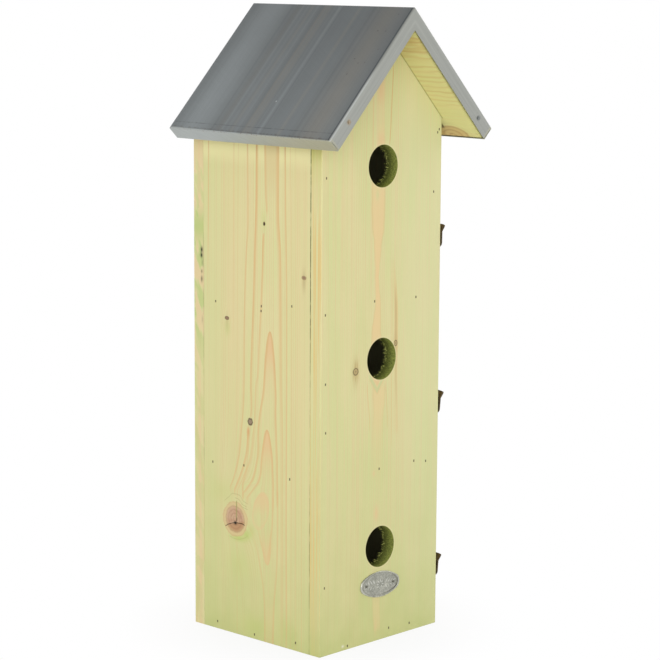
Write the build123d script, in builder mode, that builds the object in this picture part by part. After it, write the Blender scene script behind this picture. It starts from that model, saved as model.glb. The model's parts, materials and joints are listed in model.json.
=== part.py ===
from build123d import *
import math
import os

# Tower nest box for sparrows. The origin is the centre of the base, +Z is up and the entrance holes face -Y.
# All sizes are millimetres, and angles are degrees.

# Driving dimensions of the wooden body
body_width = 134.0
body_depth = 138.0
shoulder_height = 403.5
board_thickness = 11.0
corner_easing = 0.8
roof_pitch = 46.0

# Entrance holes, on the centreline of the front panel
entrance_diameter = 32.0
lowest_entrance_height = 75.0
highest_entrance_drop = 33.1

# Compartments: each has one door, and the shelves are evenly spaced below the upper door
rail_height = 66.0
upper_door_height = 73.0
door_gap = 1.1
stop_gap = 0.5

# Fixing holes in the back panel
fixing_hole_diameter = 6.0

# Roof
roof_board_thickness = 11.6
sheet_thickness = 0.5
eave_reach = 15.0
front_overhang = 30.5
rear_overhang = 2.0
eave_play = 1.0
verge_play = 1.5
fold_radius = 1.4
corner_slit = 0.35

# Oval plate below the lowest entrance
plate_width = 44.5
plate_height = 20.5
plate_end_radius = 6.2
plate_thickness = 1.0
plate_rim_width = 1.7
plate_rim_bevel = 0.3
plate_field_depth = 0.45
plate_drop = 30.0
plate_tilt = -3.3
plate_pin_spacing = 31.0
plate_pin_diameter = 1.2
plate_pin_head = 2.0
plate_pin_head_height = 0.4
plate_pin_length = 8.0

# Turn buttons on the right edge of the front panel
latch_width = 9.0
latch_thickness = 1.4
latch_reach = 13.9
latch_bend_height = 9.0
latch_lip_angle = 38.0
latch_corner_radius = 2.4
latch_rises = (40.9, 38.7, 41.45)
latch_tilts = (4.0, 5.0, 1.0)
spacer_diameter = 6.0
spacer_thickness = 1.7
latch_play = 0.1
pivot_clearance = 0.06

# Butt hinges at the rear edge of the doors
hinge_length = 16.0
hinge_leaf_width = 8.5
hinge_leaf_thickness = 0.9
knuckle_radius = 1.7
hinge_pin_radius = 0.8
hinge_pin_clearance = 0.05
knuckle_gap = 0.25
hinge_corner_radius = 1.2
hinge_inset = 13.0
hinge_screw_offset = 5.5
hinge_screw_spread = 4.3

# Wood screws
latch_screw_diameter = 2.5
latch_screw_head = 5.4
latch_screw_head_height = 1.8
latch_screw_head_bevel = 0.8
latch_screw_depth = 13.0
hinge_screw_diameter = 1.8
hinge_screw_head = 3.2
hinge_screw_land = 0.1
hinge_screw_depth = 8.0
screw_slot_width = 0.6
screw_slot_depth = 0.6

# Nails: brads of flat wire in the boards, and round ones in the bands of the roof sheet
brad_width = 1.2
brad_thickness = 1.0
brad_head = 1.8
brad_head_depth = 0.6
brad_length = 25.0
brad_stand = 0.1
nail_stray = 1.0
nail_from_end = 9.5
band_nail_diameter = 1.2
band_nail_head = 2.4
band_nail_head_height = 0.6
band_nail_length = 10.0
left_band_nail_from_eave = 22.6
right_band_nail_from_eave = 17.4

# Sides of the small round forms that repeat
nail_sides = 12
screw_sides = 8
knuckle_sides = 16

# Planes and levels that follow from the driving dimensions
half_width = body_width / 2
half_depth = body_depth / 2
inner_half_width = half_width - board_thickness
inner_half_depth = half_depth - board_thickness
panel_middle = half_depth - board_thickness / 2
side_middle = half_width - board_thickness / 2
rail_foot = shoulder_height - rail_height
compartment_pitch = (rail_foot - upper_door_height - board_thickness / 2) / 2
shelf_levels = [board_thickness / 2 + row * compartment_pitch for row in range(3)]
door_lows = [door_gap, shelf_levels[1] + door_gap / 2, shelf_levels[2] + door_gap / 2]
door_highs = [shelf_levels[1] - door_gap / 2, shelf_levels[2] - door_gap / 2, rail_foot - door_gap]
latch_heights = [low + latch_rise for low, latch_rise in zip(door_lows, latch_rises)]
entrance_pitch = (shoulder_height - highest_entrance_drop - lowest_entrance_height) / 2
entrance_heights = [lowest_entrance_height + row * entrance_pitch for row in range(3)]

# Roof geometry: one slope is described by the distance down from the ridge and the depth below its outer surface
rise = math.tan(math.radians(roof_pitch))
slope_cos = math.cos(math.radians(roof_pitch))
slope_sin = math.sin(math.radians(roof_pitch))
roof_build = roof_board_thickness + sheet_thickness
gable_apex = shoulder_height + half_width * rise
ridge_height = gable_apex + roof_build / slope_cos
slope_length = (half_width + eave_reach + roof_build * slope_sin) / slope_cos
front_verge = half_depth + front_overhang
rear_verge = half_depth + rear_overhang
roof_length = front_verge + rear_verge


def slope_point(along, depth):
    """Point of the right slope, in the plane across the roof."""
    x = along * slope_cos - depth * slope_sin
    z = ridge_height - along * slope_sin - depth * slope_cos
    return (x, z)


def mirrored(point):
    """The same point on the left slope."""
    return (-point[0], point[1])


def nail_planes(spots, outward):
    """Planes at the heads of nails, with their normals pointing out of the wood."""
    return [Plane(origin=spot, z_dir=outward) for spot in spots]


def upright_planes(spots, outward):
    """The same planes, with y of each plane along the grain, straight up."""
    across = Vector(0, 0, 1).cross(Vector(*outward))
    return [Plane(origin=spot, x_dir=across, z_dir=outward) for spot in spots]


def headed_pins(planes, radius, length, head_radius, head_height):
    """One round nail in each plane, with its head on the plane."""
    with BuildPart() as pins:
        with BuildSketch(*planes):
            RegularPolygon(radius, nail_sides)
        extrude(amount=-length)
        with BuildSketch(*planes):
            RegularPolygon(head_radius, nail_sides)
        extrude(amount=head_height)
    return pins.part


def brads(planes):
    """One brad driven down each plane's normal; its head is longer than the wire is wide, along y of the plane."""
    tops = [plane.offset(brad_stand) for plane in planes]
    with BuildPart() as pins:
        with BuildSketch(*tops):
            Rectangle(brad_thickness, brad_width)
        extrude(amount=-brad_length)
        with BuildSketch(*tops):
            Rectangle(brad_thickness, brad_head)
        extrude(amount=-brad_head_depth)
    return pins.part


os.makedirs("parts", exist_ok=True)

# Front panel, with its gable and the three entrance holes
with BuildPart() as front_panel:
    with BuildSketch(Plane.XZ.offset(half_depth)):
        with BuildLine():
            Polyline((0, 0), (half_width, 0), (half_width, shoulder_height), (0, gable_apex))
            mirror(about=Plane.YZ)
        make_face()
    extrude(amount=-board_thickness)
    outer_corners = front_panel.edges().filter_by(Axis.Z).group_by(Axis.Y)[0]
    fillet(outer_corners, corner_easing)
    with BuildSketch(Plane.XZ.offset(half_depth)):
        with Locations(*[(0, height) for height in entrance_heights]):
            Circle(entrance_diameter / 2)
    extrude(amount=-board_thickness, mode=Mode.SUBTRACT)
front_panel.part.label = "front_panel"
export_step(front_panel.part, "parts/front_panel.step")

# Back panel: the same outline, with a fixing hole level with the top and the bottom entrance
with BuildPart() as back_panel:
    with BuildSketch(Plane.XZ.offset(-inner_half_depth)):
        with BuildLine():
            Polyline((0, 0), (half_width, 0), (half_width, shoulder_height), (0, gable_apex))
            mirror(about=Plane.YZ)
        make_face()
        with Locations((0, entrance_heights[0]), (0, entrance_heights[2])):
            Circle(fixing_hole_diameter / 2, mode=Mode.SUBTRACT)
    extrude(amount=-board_thickness)
    outer_corners = back_panel.edges().filter_by(Axis.Z).group_by(Axis.Y)[-1]
    fillet(outer_corners, corner_easing)
back_panel.part.label = "back_panel"
export_step(back_panel.part, "parts/back_panel.step")

# Left side panel, between the front and the back
with BuildPart() as left_side_panel:
    with BuildSketch(Plane.YZ.offset(-half_width)):
        Rectangle(2 * inner_half_depth, shoulder_height, align=(Align.CENTER, Align.MIN))
    extrude(amount=board_thickness)
left_side_panel.part.label = "left_side_panel"
export_step(left_side_panel.part, "parts/left_side_panel.step")

# Fixed rail at the top of the right side
with BuildPart() as right_rail:
    with BuildSketch(Plane.YZ.offset(inner_half_width)):
        with Locations((0, rail_foot)):
            Rectangle(2 * inner_half_depth, shoulder_height - rail_foot, align=(Align.CENTER, Align.MIN))
    extrude(amount=board_thickness)
right_rail.part.label = "right_rail"
export_step(right_rail.part, "parts/right_rail.step")

# Floor and shelves: they reach from the left side panel to just short of the doors
shelf_width = 2 * inner_half_width - stop_gap
for shelf_name, level in zip(("floor_board", "lower_shelf", "upper_shelf"), shelf_levels):
    with BuildPart() as shelf:
        with BuildSketch(Plane.XY.offset(level - board_thickness / 2)):
            with Locations((-inner_half_width, 0)):
                Rectangle(shelf_width, 2 * inner_half_depth, align=(Align.MIN, Align.CENTER))
        extrude(amount=board_thickness)
    shelf.part.label = shelf_name
    export_step(shelf.part, f"parts/{shelf_name}.step")

# Roof boards: the left board laps over the upper end of the right one
board_foot = slope_length - sheet_thickness - eave_play
board_front = front_verge - sheet_thickness - verge_play
board_length = roof_length - 2 * (sheet_thickness + verge_play)
lap_x = roof_board_thickness / (2 * slope_sin)
lap_corner = (lap_x, gable_apex + lap_x * rise)
board_apex = (0, gable_apex + roof_board_thickness / slope_cos)
foot_outer = slope_point(board_foot, sheet_thickness)
foot_inner = slope_point(board_foot, roof_build)

with BuildPart() as roof_board_right:
    with BuildSketch(Plane.XZ.offset(board_front)):
        with BuildLine():
            Polyline(foot_outer, foot_inner, (0, gable_apex), lap_corner, close=True)
        make_face()
    extrude(amount=-board_length)
roof_board_right.part.label = "roof_board_right"
export_step(roof_board_right.part, "parts/roof_board_right.step")

with BuildPart() as roof_board_left:
    with BuildSketch(Plane.XZ.offset(board_front)):
        with BuildLine():
            Polyline(mirrored(foot_outer), mirrored(foot_inner), lap_corner, board_apex, close=True)
        make_face()
    extrude(amount=-board_length)
    fillet(roof_board_left.edges().filter_by(Axis.Y).sort_by(Axis.Z)[-1], fold_radius)
roof_board_left.part.label = "roof_board_left"
export_step(roof_board_left.part, "parts/roof_board_left.step")

# Roof sheet: the outer form of the roof, hollowed from below so that thin bands stay at the eaves and verges
band_nail_depth = roof_build / 2
left_nail_point = mirrored(slope_point(slope_length - left_band_nail_from_eave, band_nail_depth))
right_nail_point = slope_point(slope_length - right_band_nail_from_eave, band_nail_depth)
front_band_spots = [(x, -front_verge, z) for x, z in (left_nail_point, right_nail_point)]
rear_band_spots = [(x, rear_verge, z) for x, z in (left_nail_point, right_nail_point)]
front_band_planes = nail_planes(front_band_spots, (0, -1, 0))
rear_band_planes = nail_planes(rear_band_spots, (0, 1, 0))

slit_top = 2 * fold_radius
slit_along = slope_length - sheet_thickness - corner_slit / 2
slit_x, slit_z = slope_point(slit_along, slit_top)
slit_planes = []
for side in (-1, 1):
    for verge in (-front_verge, rear_verge):
        corner = (side * slit_x, verge, slit_z)
        slit_planes.append(Plane(origin=corner, x_dir=(side * slope_cos, 0, -slope_sin), z_dir=(0, side, 0)))

with BuildPart() as roof_sheet:
    with BuildSketch(Plane.XZ.offset(front_verge)):
        with BuildLine():
            eave_top = slope_point(slope_length, 0)
            eave_foot = slope_point(slope_length, roof_build)
            Polyline((0, ridge_height), eave_top, eave_foot, (0, gable_apex))
            mirror(about=Plane.YZ)
        make_face()
    extrude(amount=-roof_length)
    slopes = roof_sheet.faces().filter_by(lambda face: face.normal_at().Z > 0.1)
    fillet(slopes.edges(), fold_radius)
    underside = roof_sheet.faces().filter_by(lambda face: face.normal_at().X * face.center().X < -1)
    offset(amount=-sheet_thickness, openings=underside)
    with BuildSketch(*slit_planes):
        Rectangle(corner_slit, roof_build, align=(Align.CENTER, Align.MIN))
    extrude(amount=2 * sheet_thickness, both=True, mode=Mode.SUBTRACT)
    with BuildSketch(*front_band_planes, *rear_band_planes):
        RegularPolygon(band_nail_diameter / 2, nail_sides)
    extrude(amount=-2 * sheet_thickness, mode=Mode.SUBTRACT)
roof_sheet.part.label = "roof_sheet"
export_step(roof_sheet.part, "parts/roof_sheet.step")

# Oval plate with a raised rim, and the two pins that hold it
plate_height_above_base = lowest_entrance_height - plate_drop
plate_slant = math.radians(plate_tilt)
plate_plane = Plane(
    origin=(0, -half_depth, plate_height_above_base),
    x_dir=(math.cos(plate_slant), 0, math.sin(plate_slant)),
    z_dir=(0, -1, 0),
)
pin_reach = plate_pin_spacing / 2


def oval_quarter(inset):
    """Two tangent arcs from the top of the oval to its right end, inset from the plate's edge."""
    half_long = plate_width / 2
    half_short = plate_height / 2
    end_centre = half_long - plate_end_radius
    reach = end_centre**2 + half_short**2 - plate_end_radius**2
    long_radius = reach / (2 * (half_short - plate_end_radius))
    turn = math.degrees(math.atan2(end_centre, long_radius - half_short))
    CenterArc((0, half_short - long_radius), long_radius - inset, 90, -turn)
    CenterArc((end_centre, 0), plate_end_radius - inset, 90 - turn, turn - 90)


with BuildPart() as badge_plate:
    with BuildSketch(plate_plane):
        with BuildLine():
            oval_quarter(0)
            mirror(about=Plane.XZ)
            mirror(about=Plane.YZ)
        make_face()
    extrude(amount=plate_thickness)
    chamfer(badge_plate.faces().sort_by(Axis.Y)[0].edges(), plate_rim_bevel)
    with BuildSketch(plate_plane.offset(plate_thickness)):
        with BuildLine():
            oval_quarter(plate_rim_width)
            mirror(about=Plane.XZ)
            mirror(about=Plane.YZ)
        make_face()
    extrude(amount=-plate_field_depth, mode=Mode.SUBTRACT)
    with BuildSketch(plate_plane):
        with Locations((-pin_reach, 0), (pin_reach, 0)):
            RegularPolygon(plate_pin_diameter / 2, nail_sides)
    extrude(amount=plate_thickness, mode=Mode.SUBTRACT)
badge_plate.part.label = "badge_plate"
export_step(badge_plate.part, "parts/badge_plate.step")

field_plane = plate_plane.offset(plate_thickness - plate_field_depth)
pin_spots = [field_plane.from_local_coords((side * pin_reach, 0, 0)) for side in (-1, 1)]
badge_pins = headed_pins(
    nail_planes(pin_spots, (0, -1, 0)),
    plate_pin_diameter / 2,
    plate_pin_length,
    plate_pin_head / 2,
    plate_pin_head_height,
)
badge_pins.label = "badge_pins"
export_step(badge_pins, "parts/badge_pins.step")

# Turn buttons: a flat strip with a round tail and a lip that is bent outward for the finger
row_names = ("lower", "middle", "upper")
pivot_radius = latch_screw_diameter / 2 + pivot_clearance
latch_inside = spacer_thickness + latch_play
latch_outside = latch_inside + latch_thickness
lip_angle = math.radians(latch_lip_angle)
lip_rise = latch_reach - latch_bend_height
lip_inner_end = (latch_inside + lip_rise * math.tan(lip_angle), latch_reach)
lip_outer_end = (
    lip_inner_end[0] + latch_thickness * math.cos(lip_angle),
    latch_reach - latch_thickness * math.sin(lip_angle),
)
outer_bend = (latch_outside, latch_bend_height - latch_thickness * math.tan(lip_angle / 2))

latch_planes = []
for height, tilt in zip(latch_heights, latch_tilts):
    slant = math.radians(tilt)
    pivot = (half_width, -panel_middle, height)
    latch_planes.append(Plane(origin=pivot, x_dir=(0, math.cos(slant), math.sin(slant)), z_dir=(1, 0, 0)))

for row_name, latch_plane in zip(row_names, latch_planes):
    section_plane = Plane(origin=latch_plane.origin, x_dir=latch_plane.z_dir, z_dir=-latch_plane.x_dir)
    with BuildPart() as latch:
        with BuildSketch(section_plane):
            with BuildLine():
                Polyline(
                    (latch_inside, -latch_width / 2),
                    (latch_inside, latch_bend_height),
                    lip_inner_end,
                    lip_outer_end,
                    outer_bend,
                    (latch_outside, -latch_width / 2),
                    close=True,
                )
            make_face()
        extrude(amount=latch_width / 2, both=True)
        with BuildSketch(latch_plane) as latch_outline:
            Circle(latch_width / 2)
            Rectangle(latch_width, latch_reach, align=(Align.CENTER, Align.MIN))
            fillet(latch_outline.vertices().group_by(Axis.Y)[-1], latch_corner_radius)
            Circle(pivot_radius, mode=Mode.SUBTRACT)
        extrude(amount=latch_width + latch_reach, mode=Mode.INTERSECT)
    latch.part.label = f"latch_{row_name}"
    export_step(latch.part, f"parts/latch_{row_name}.step")

with BuildPart() as latch_spacers:
    with BuildSketch(*latch_planes):
        RegularPolygon(spacer_diameter / 2, knuckle_sides)
        RegularPolygon(pivot_radius, knuckle_sides, mode=Mode.SUBTRACT)
    extrude(amount=spacer_thickness)
latch_spacers.part.label = "latch_spacers"
export_step(latch_spacers.part, "parts/latch_spacers.step")

# Round-head screws that the turn buttons swing on
screw_head_seat = latch_outside + latch_play
with BuildPart() as latch_screws:
    with BuildSketch(*[plane.offset(screw_head_seat) for plane in latch_planes]):
        RegularPolygon(latch_screw_diameter / 2, knuckle_sides)
    extrude(amount=-(screw_head_seat + latch_screw_depth))
    with BuildSketch(*[plane.offset(screw_head_seat) for plane in latch_planes]):
        RegularPolygon(latch_screw_head / 2, knuckle_sides)
    extrude(amount=latch_screw_head_height)
    chamfer(latch_screws.edges().group_by(Axis.X)[-1], latch_screw_head_bevel)
    with BuildSketch(*[plane.offset(screw_head_seat + latch_screw_head_height) for plane in latch_planes]):
        Rectangle(latch_screw_head, screw_slot_width)
    extrude(amount=-screw_slot_depth, mode=Mode.SUBTRACT)
latch_screws.part.label = "latch_screws"
export_step(latch_screws.part, "parts/latch_screws.step")

# Doors on the right side, one for each compartment, divided at the middle of the shelves
door_width = 2 * (inner_half_depth - door_gap)
for row_name, low, high in zip(row_names, door_lows, door_highs):
    with BuildPart() as door:
        with BuildSketch(Plane.YZ.offset(inner_half_width)):
            with Locations((0, low)):
                Rectangle(door_width, high - low, align=(Align.CENTER, Align.MIN))
        extrude(amount=board_thickness)
    door.part.label = f"door_{row_name}"
    export_step(door.part, f"parts/door_{row_name}.step")

# Butt hinges on the outside, with their pins over the joint between the doors and the back panel
pin_x = half_width + knuckle_radius
pin_y = inner_half_depth
knuckle_length = (hinge_length - 2 * knuckle_gap) / 3
middle_half = knuckle_length / 2
outer_half = middle_half + knuckle_gap
hinge_half = hinge_length / 2
screw_head_bevel = (hinge_screw_head - hinge_screw_diameter) / 2 * math.cos(math.pi / screw_sides)
screw_head_depth = hinge_screw_land + screw_head_bevel


def hinge_screw_planes(level, side):
    """Planes on the face of a leaf, at its two screws; side is 1 for the frame leaf and -1 for the door leaf."""
    spot_y = pin_y + side * hinge_screw_offset
    face_x = half_width + hinge_leaf_thickness
    spots = [(face_x, spot_y, level + end * hinge_screw_spread) for end in (-1, 1)]
    return nail_planes(spots, (1, 0, 0))


def hinge_leaf(level, side, knuckle_spans, clear_spans):
    """One leaf: a plate with rolled knuckles, cut clear of the knuckles of the other leaf."""
    plate_centre = (half_width, pin_y + side * hinge_leaf_width / 2, level)
    leaf_plane = Plane(origin=plate_centre, x_dir=(0, 1, 0), z_dir=(1, 0, 0))
    with BuildPart() as leaf:
        with BuildSketch(leaf_plane) as leaf_outline:
            Rectangle(hinge_leaf_width, hinge_length)
            far_corners = leaf_outline.vertices().sort_by(Axis.Y)[-2:] if side > 0 else (
                leaf_outline.vertices().sort_by(Axis.Y)[:2]
            )
            fillet(far_corners, hinge_corner_radius)
        extrude(amount=hinge_leaf_thickness)
        for low, high in knuckle_spans:
            with BuildSketch(Plane.XY.offset(level + low)):
                with Locations((pin_x, pin_y)):
                    RegularPolygon(knuckle_radius, knuckle_sides)
            extrude(amount=high - low)
        for low, high in clear_spans:
            with BuildSketch(Plane.XY.offset(level + low)):
                with Locations((pin_x, pin_y)):
                    Rectangle(2 * (knuckle_radius + knuckle_gap), 2 * (knuckle_radius + knuckle_gap))
            extrude(amount=high - low, mode=Mode.SUBTRACT)
        with BuildSketch(Plane.XY.offset(level - hinge_half)):
            with Locations((pin_x, pin_y)):
                RegularPolygon(hinge_pin_radius + hinge_pin_clearance, knuckle_sides)
        extrude(amount=hinge_length, mode=Mode.SUBTRACT)
        with BuildSketch(*hinge_screw_planes(level, side)):
            RegularPolygon(hinge_screw_diameter / 2, screw_sides)
        extrude(amount=-hinge_leaf_thickness, mode=Mode.SUBTRACT)
        screw_rims = leaf.edges(Select.LAST).group_by(Axis.X)[-1]
        chamfer(screw_rims, screw_head_depth)
    return leaf.part


def countersunk_screws(planes):
    """Flat-head screws with their heads flush in the planes."""
    shank_tops = [plane.offset(-screw_head_depth) for plane in planes]
    with BuildPart() as screws:
        with BuildSketch(*planes):
            RegularPolygon(hinge_screw_head / 2, screw_sides)
        extrude(amount=-screw_head_depth)
        chamfer(screws.edges().group_by(Axis.X)[0], screw_head_bevel)
        with BuildSketch(*shank_tops):
            RegularPolygon(hinge_screw_diameter / 2, screw_sides)
        extrude(amount=screw_head_depth - hinge_screw_depth)
    return screws.part


outer_spans = [(-hinge_half, -outer_half), (outer_half, hinge_half)]
middle_span = [(-middle_half, middle_half)]
frame_clear_span = [(-outer_half, outer_half)]
door_clear_spans = [(-hinge_half, -middle_half), (middle_half, hinge_half)]

frame_screw_planes = []
for row_name, low, high in zip(row_names, door_lows, door_highs):
    door_screw_planes = []
    for end_name, level in (("bottom", low + hinge_inset), ("top", high - hinge_inset)):
        frame_leaf = hinge_leaf(level, 1, outer_spans, frame_clear_span)
        frame_leaf.label = f"{row_name}_{end_name}_frame_leaf"
        export_step(frame_leaf, f"parts/{frame_leaf.label}.step")

        door_leaf = hinge_leaf(level, -1, middle_span, door_clear_spans)
        door_leaf.label = f"{row_name}_{end_name}_door_leaf"
        export_step(door_leaf, f"parts/{door_leaf.label}.step")

        with BuildPart() as hinge_pin:
            with BuildSketch(Plane.XY.offset(level - hinge_half)):
                with Locations((pin_x, pin_y)):
                    RegularPolygon(hinge_pin_radius, knuckle_sides)
            extrude(amount=hinge_length)
        hinge_pin.part.label = f"{row_name}_{end_name}_hinge_pin"
        export_step(hinge_pin.part, f"parts/{hinge_pin.part.label}.step")

        frame_screw_planes += hinge_screw_planes(level, 1)
        door_screw_planes += hinge_screw_planes(level, -1)
    door_screws = countersunk_screws(door_screw_planes)
    door_screws.label = f"{row_name}_door_hinge_screws"
    export_step(door_screws, f"parts/{door_screws.label}.step")

frame_screws = countersunk_screws(frame_screw_planes)
frame_screws.label = "frame_hinge_screws"
export_step(frame_screws, "parts/frame_hinge_screws.step")

# Nails through the front panel: along the left edge, into the rail at the right edge, and one row for each shelf.
# They are driven by hand, so each strays from its line by the number beside it.
left_edge_nails = [(-0.5, 0.133), (0.0, 0.430), (-0.5, 0.522), (-1.0, 0.652), (-0.5, 0.905)]
rail_ends = (rail_foot + nail_from_end, shoulder_height - nail_from_end)
rail_nails = [(2.3, rail_ends[1], 1.0), (0.5, rail_ends[1], -1.3), (-3.4, rail_ends[0], 0.0)]
front_rows = [
    [(-0.645, -2.6), (0.198, 1.9), (0.629, 0.8)],
    [(-0.030, 1.8), (0.689, 1.9), (0.939, -0.4)],
    [(-0.150, 3.5), (0.693, 2.0)],
]
front_spots = []
for stray, share in left_edge_nails:
    front_spots.append((-side_middle + stray * nail_stray, -half_depth, share * shoulder_height))
for stray_x, height, stray_z in rail_nails:
    front_spots.append((side_middle + stray_x * nail_stray, -half_depth, height + stray_z * nail_stray))
for level, row in zip(shelf_levels, front_rows):
    for share, stray in row:
        front_spots.append((share * inner_half_width, -half_depth, level + stray * nail_stray))
front_brads = brads(upright_planes(front_spots, (0, -1, 0)))
front_brads.label = "front_brads"
export_step(front_brads, "parts/front_brads.step")

# Nails through the left side panel, one row for each shelf
left_rows = [
    [(-0.750, 0.9), (0.024, -1.8), (0.741, 0.4)],
    [(-0.634, -1.2), (0.226, 1.8), (0.828, -0.7)],
    [(-0.664, 2.5), (-0.098, -4.6), (-0.103, -0.9), (0.764, -2.4)],
]
left_spots = []
for level, row in zip(shelf_levels, left_rows):
    for share, stray in row:
        left_spots.append((-half_width, share * inner_half_depth, level + stray * nail_stray))
left_brads = brads(upright_planes(left_spots, (-1, 0, 0)))
left_brads.label = "left_brads"
export_step(left_brads, "parts/left_brads.step")

# Nails through the back panel: both edges and the shelf rows
back_spots = []
for share in (0.12, 0.38, 0.60, 0.88):
    back_spots.append((-side_middle, half_depth, share * shoulder_height))
for height in rail_ends:
    back_spots.append((side_middle, half_depth, height))
for level in shelf_levels:
    for share in (-0.5, 0.5):
        back_spots.append((share * inner_half_width, half_depth, level))
back_brads = brads(upright_planes(back_spots, (0, 1, 0)))
back_brads.label = "back_brads"
export_step(back_brads, "parts/back_brads.step")

# Nails through the roof boards into the gables, under the sheet
roof_nail_planes = []
for share in (0.30, 0.70):
    nail_x, nail_z = slope_point(share * slope_length, sheet_thickness + 2 * brad_stand)
    for side in (-1, 1):
        for nail_y in (-panel_middle, panel_middle):
            spot = (side * nail_x, nail_y, nail_z)
            roof_nail_planes.append(Plane(origin=spot, x_dir=(0, 1, 0), z_dir=(side * slope_sin, 0, slope_cos)))
roof_brads = brads(roof_nail_planes)
roof_brads.label = "roof_brads"
export_step(roof_brads, "parts/roof_brads.step")

# Nails through the verge bands into the ends of the roof boards
band_nails = headed_pins(
    front_band_planes + rear_band_planes,
    band_nail_diameter / 2,
    band_nail_length,
    band_nail_head / 2,
    band_nail_head_height,
)
band_nails.label = "verge_nails"
export_step(band_nails, "parts/verge_nails.step")
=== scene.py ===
import json
import math
import random

import bmesh
import bpy
from mathutils import Matrix, Vector


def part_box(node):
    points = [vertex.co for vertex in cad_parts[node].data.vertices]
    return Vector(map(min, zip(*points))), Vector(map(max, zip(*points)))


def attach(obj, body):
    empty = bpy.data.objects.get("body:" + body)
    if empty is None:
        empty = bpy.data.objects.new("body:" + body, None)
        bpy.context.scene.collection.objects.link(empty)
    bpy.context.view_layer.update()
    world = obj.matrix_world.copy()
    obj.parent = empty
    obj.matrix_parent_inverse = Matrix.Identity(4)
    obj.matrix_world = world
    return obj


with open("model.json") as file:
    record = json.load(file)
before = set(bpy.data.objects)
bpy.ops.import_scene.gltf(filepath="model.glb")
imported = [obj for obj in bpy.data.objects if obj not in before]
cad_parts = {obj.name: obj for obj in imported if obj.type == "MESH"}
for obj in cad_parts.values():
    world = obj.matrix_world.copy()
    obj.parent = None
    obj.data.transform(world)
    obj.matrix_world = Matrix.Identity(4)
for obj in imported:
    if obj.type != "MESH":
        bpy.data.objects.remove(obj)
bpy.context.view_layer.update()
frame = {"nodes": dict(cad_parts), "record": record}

# Looks of the sparrow nest box. Positions on the boards are millimetres in the part's own frame: +Z is up,
# the entrances face -Y and the doors are on the +X side.

MM = 0.001
ROWS = ("lower", "middle", "upper")
ENDS = ("bottom", "top")

# Camera: where it stood for the photograph, and its lens
CAMERA_PLACE = (-1.29065, -1.24405, 0.52838)
CAMERA_AZIMUTH = -46.385
CAMERA_ELEVATION = 9.232
CAMERA_ROLL = 0.3206
SENSOR_WIDTH = 36.0
CAMERA_LENS = 126.26


def extent(node):
    """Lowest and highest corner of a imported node, in millimetres."""
    low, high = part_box(node)
    return low / MM, high / MM


front_low, front_high = extent("front_panel")
roof_low = extent("roof_sheet")[0]
half_width = front_high.x
front_face = front_low.y
front_inner = front_high.y
shoulder_height = extent("left_side_panel")[1].z
gable_apex = front_high.z
board_thickness = front_inner - front_face
roof_pitch = math.atan2(gable_apex - shoulder_height, half_width)
ROOF_BUILD = 12.1
ridge_height = gable_apex + ROOF_BUILD / math.cos(roof_pitch)
slope_length = (ridge_height - roof_low.z - ROOF_BUILD * math.cos(roof_pitch)) / math.sin(roof_pitch)
VERGE_NAILS = {-1: slope_length - 22.6, 1: slope_length - 17.4}

openings = {box["name"]: box["box_m"] for box in frame["record"]["physics"]["openings"]}
entrance_heights = [
    (openings[f"entrance_{row}"][0][2] + openings[f"entrance_{row}"][1][2]) / 2 / MM for row in ROWS
]
entrance_radius = 16.0


def tone(red, green, blue):
    """A display colour, 0 to 255, as the linear colour that shaders take."""
    linear = []
    for value in (red, green, blue):
        part = value / 255
        linear.append(part / 12.92 if part <= 0.04045 else ((part + 0.055) / 1.055) ** 2.4)
    return (*linear, 1.0)


class Value:
    """A number that changes over the surface, with Python's own operators."""

    def __init__(self, nodes, socket):
        self.nodes = nodes
        self.socket = socket

    def __add__(self, other):
        return self.nodes.math("ADD", self, other)

    def __radd__(self, other):
        return self.nodes.math("ADD", other, self)

    def __sub__(self, other):
        return self.nodes.math("SUBTRACT", self, other)

    def __rsub__(self, other):
        return self.nodes.math("SUBTRACT", other, self)

    def __mul__(self, other):
        return self.nodes.math("MULTIPLY", self, other)

    def __rmul__(self, other):
        return self.nodes.math("MULTIPLY", other, self)

    def __truediv__(self, other):
        return self.nodes.math("DIVIDE", self, other)

    def __abs__(self):
        return self.nodes.math("ABSOLUTE", self)

    def step(self, low, high, start=0.0, end=1.0):
        """Smooth change from start to end while the value goes from low to high."""
        inputs = {"Value": self, "From Min": low, "From Max": high, "To Min": start, "To Max": end}
        node = self.nodes.add("ShaderNodeMapRange", inputs, interpolation_type="SMOOTHSTEP")
        return Value(self.nodes, node.outputs[0])

    def bell(self, centre, spread):
        """1 at the centre, falling smoothly to 0 over about two spreads."""
        offset = (self - centre) / spread
        return self.nodes.math("EXPONENT", offset * offset * -1.0)

    def curve(self, points):
        """A smooth line through (value, result) points, which go up in value."""
        starts = [point[0] for point in points]
        results = [point[1] for point in points]
        low, high = min(results), max(results)
        height = max(high - low, 1e-6)
        reach = starts[-1] - starts[0]
        share = self.nodes.math("DIVIDE", self - starts[0], reach, clamp=True)
        node = self.nodes.add("ShaderNodeFloatCurve", {"Value": share})
        line = node.mapping.curves[0]
        spots = [((start - starts[0]) / reach, (result - low) / height) for start, result in points]
        line.points[0].location = spots[0]
        line.points[-1].location = spots[-1]
        for spot in spots[1:-1]:
            line.points.new(*spot)
        for point in line.points:
            point.handle_type = "AUTO_CLAMPED"
        node.mapping.update()
        return Value(self.nodes, node.outputs[0]) * height + low

    def chance(self, seed):
        """A fixed random number from 0 to 1 for each whole number."""
        node = self.nodes.add("ShaderNodeTexWhiteNoise", noise_dimensions="1D")
        self.nodes.feed(node.inputs["W"], self + seed)
        return Value(self.nodes, node.outputs["Value"])


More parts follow.
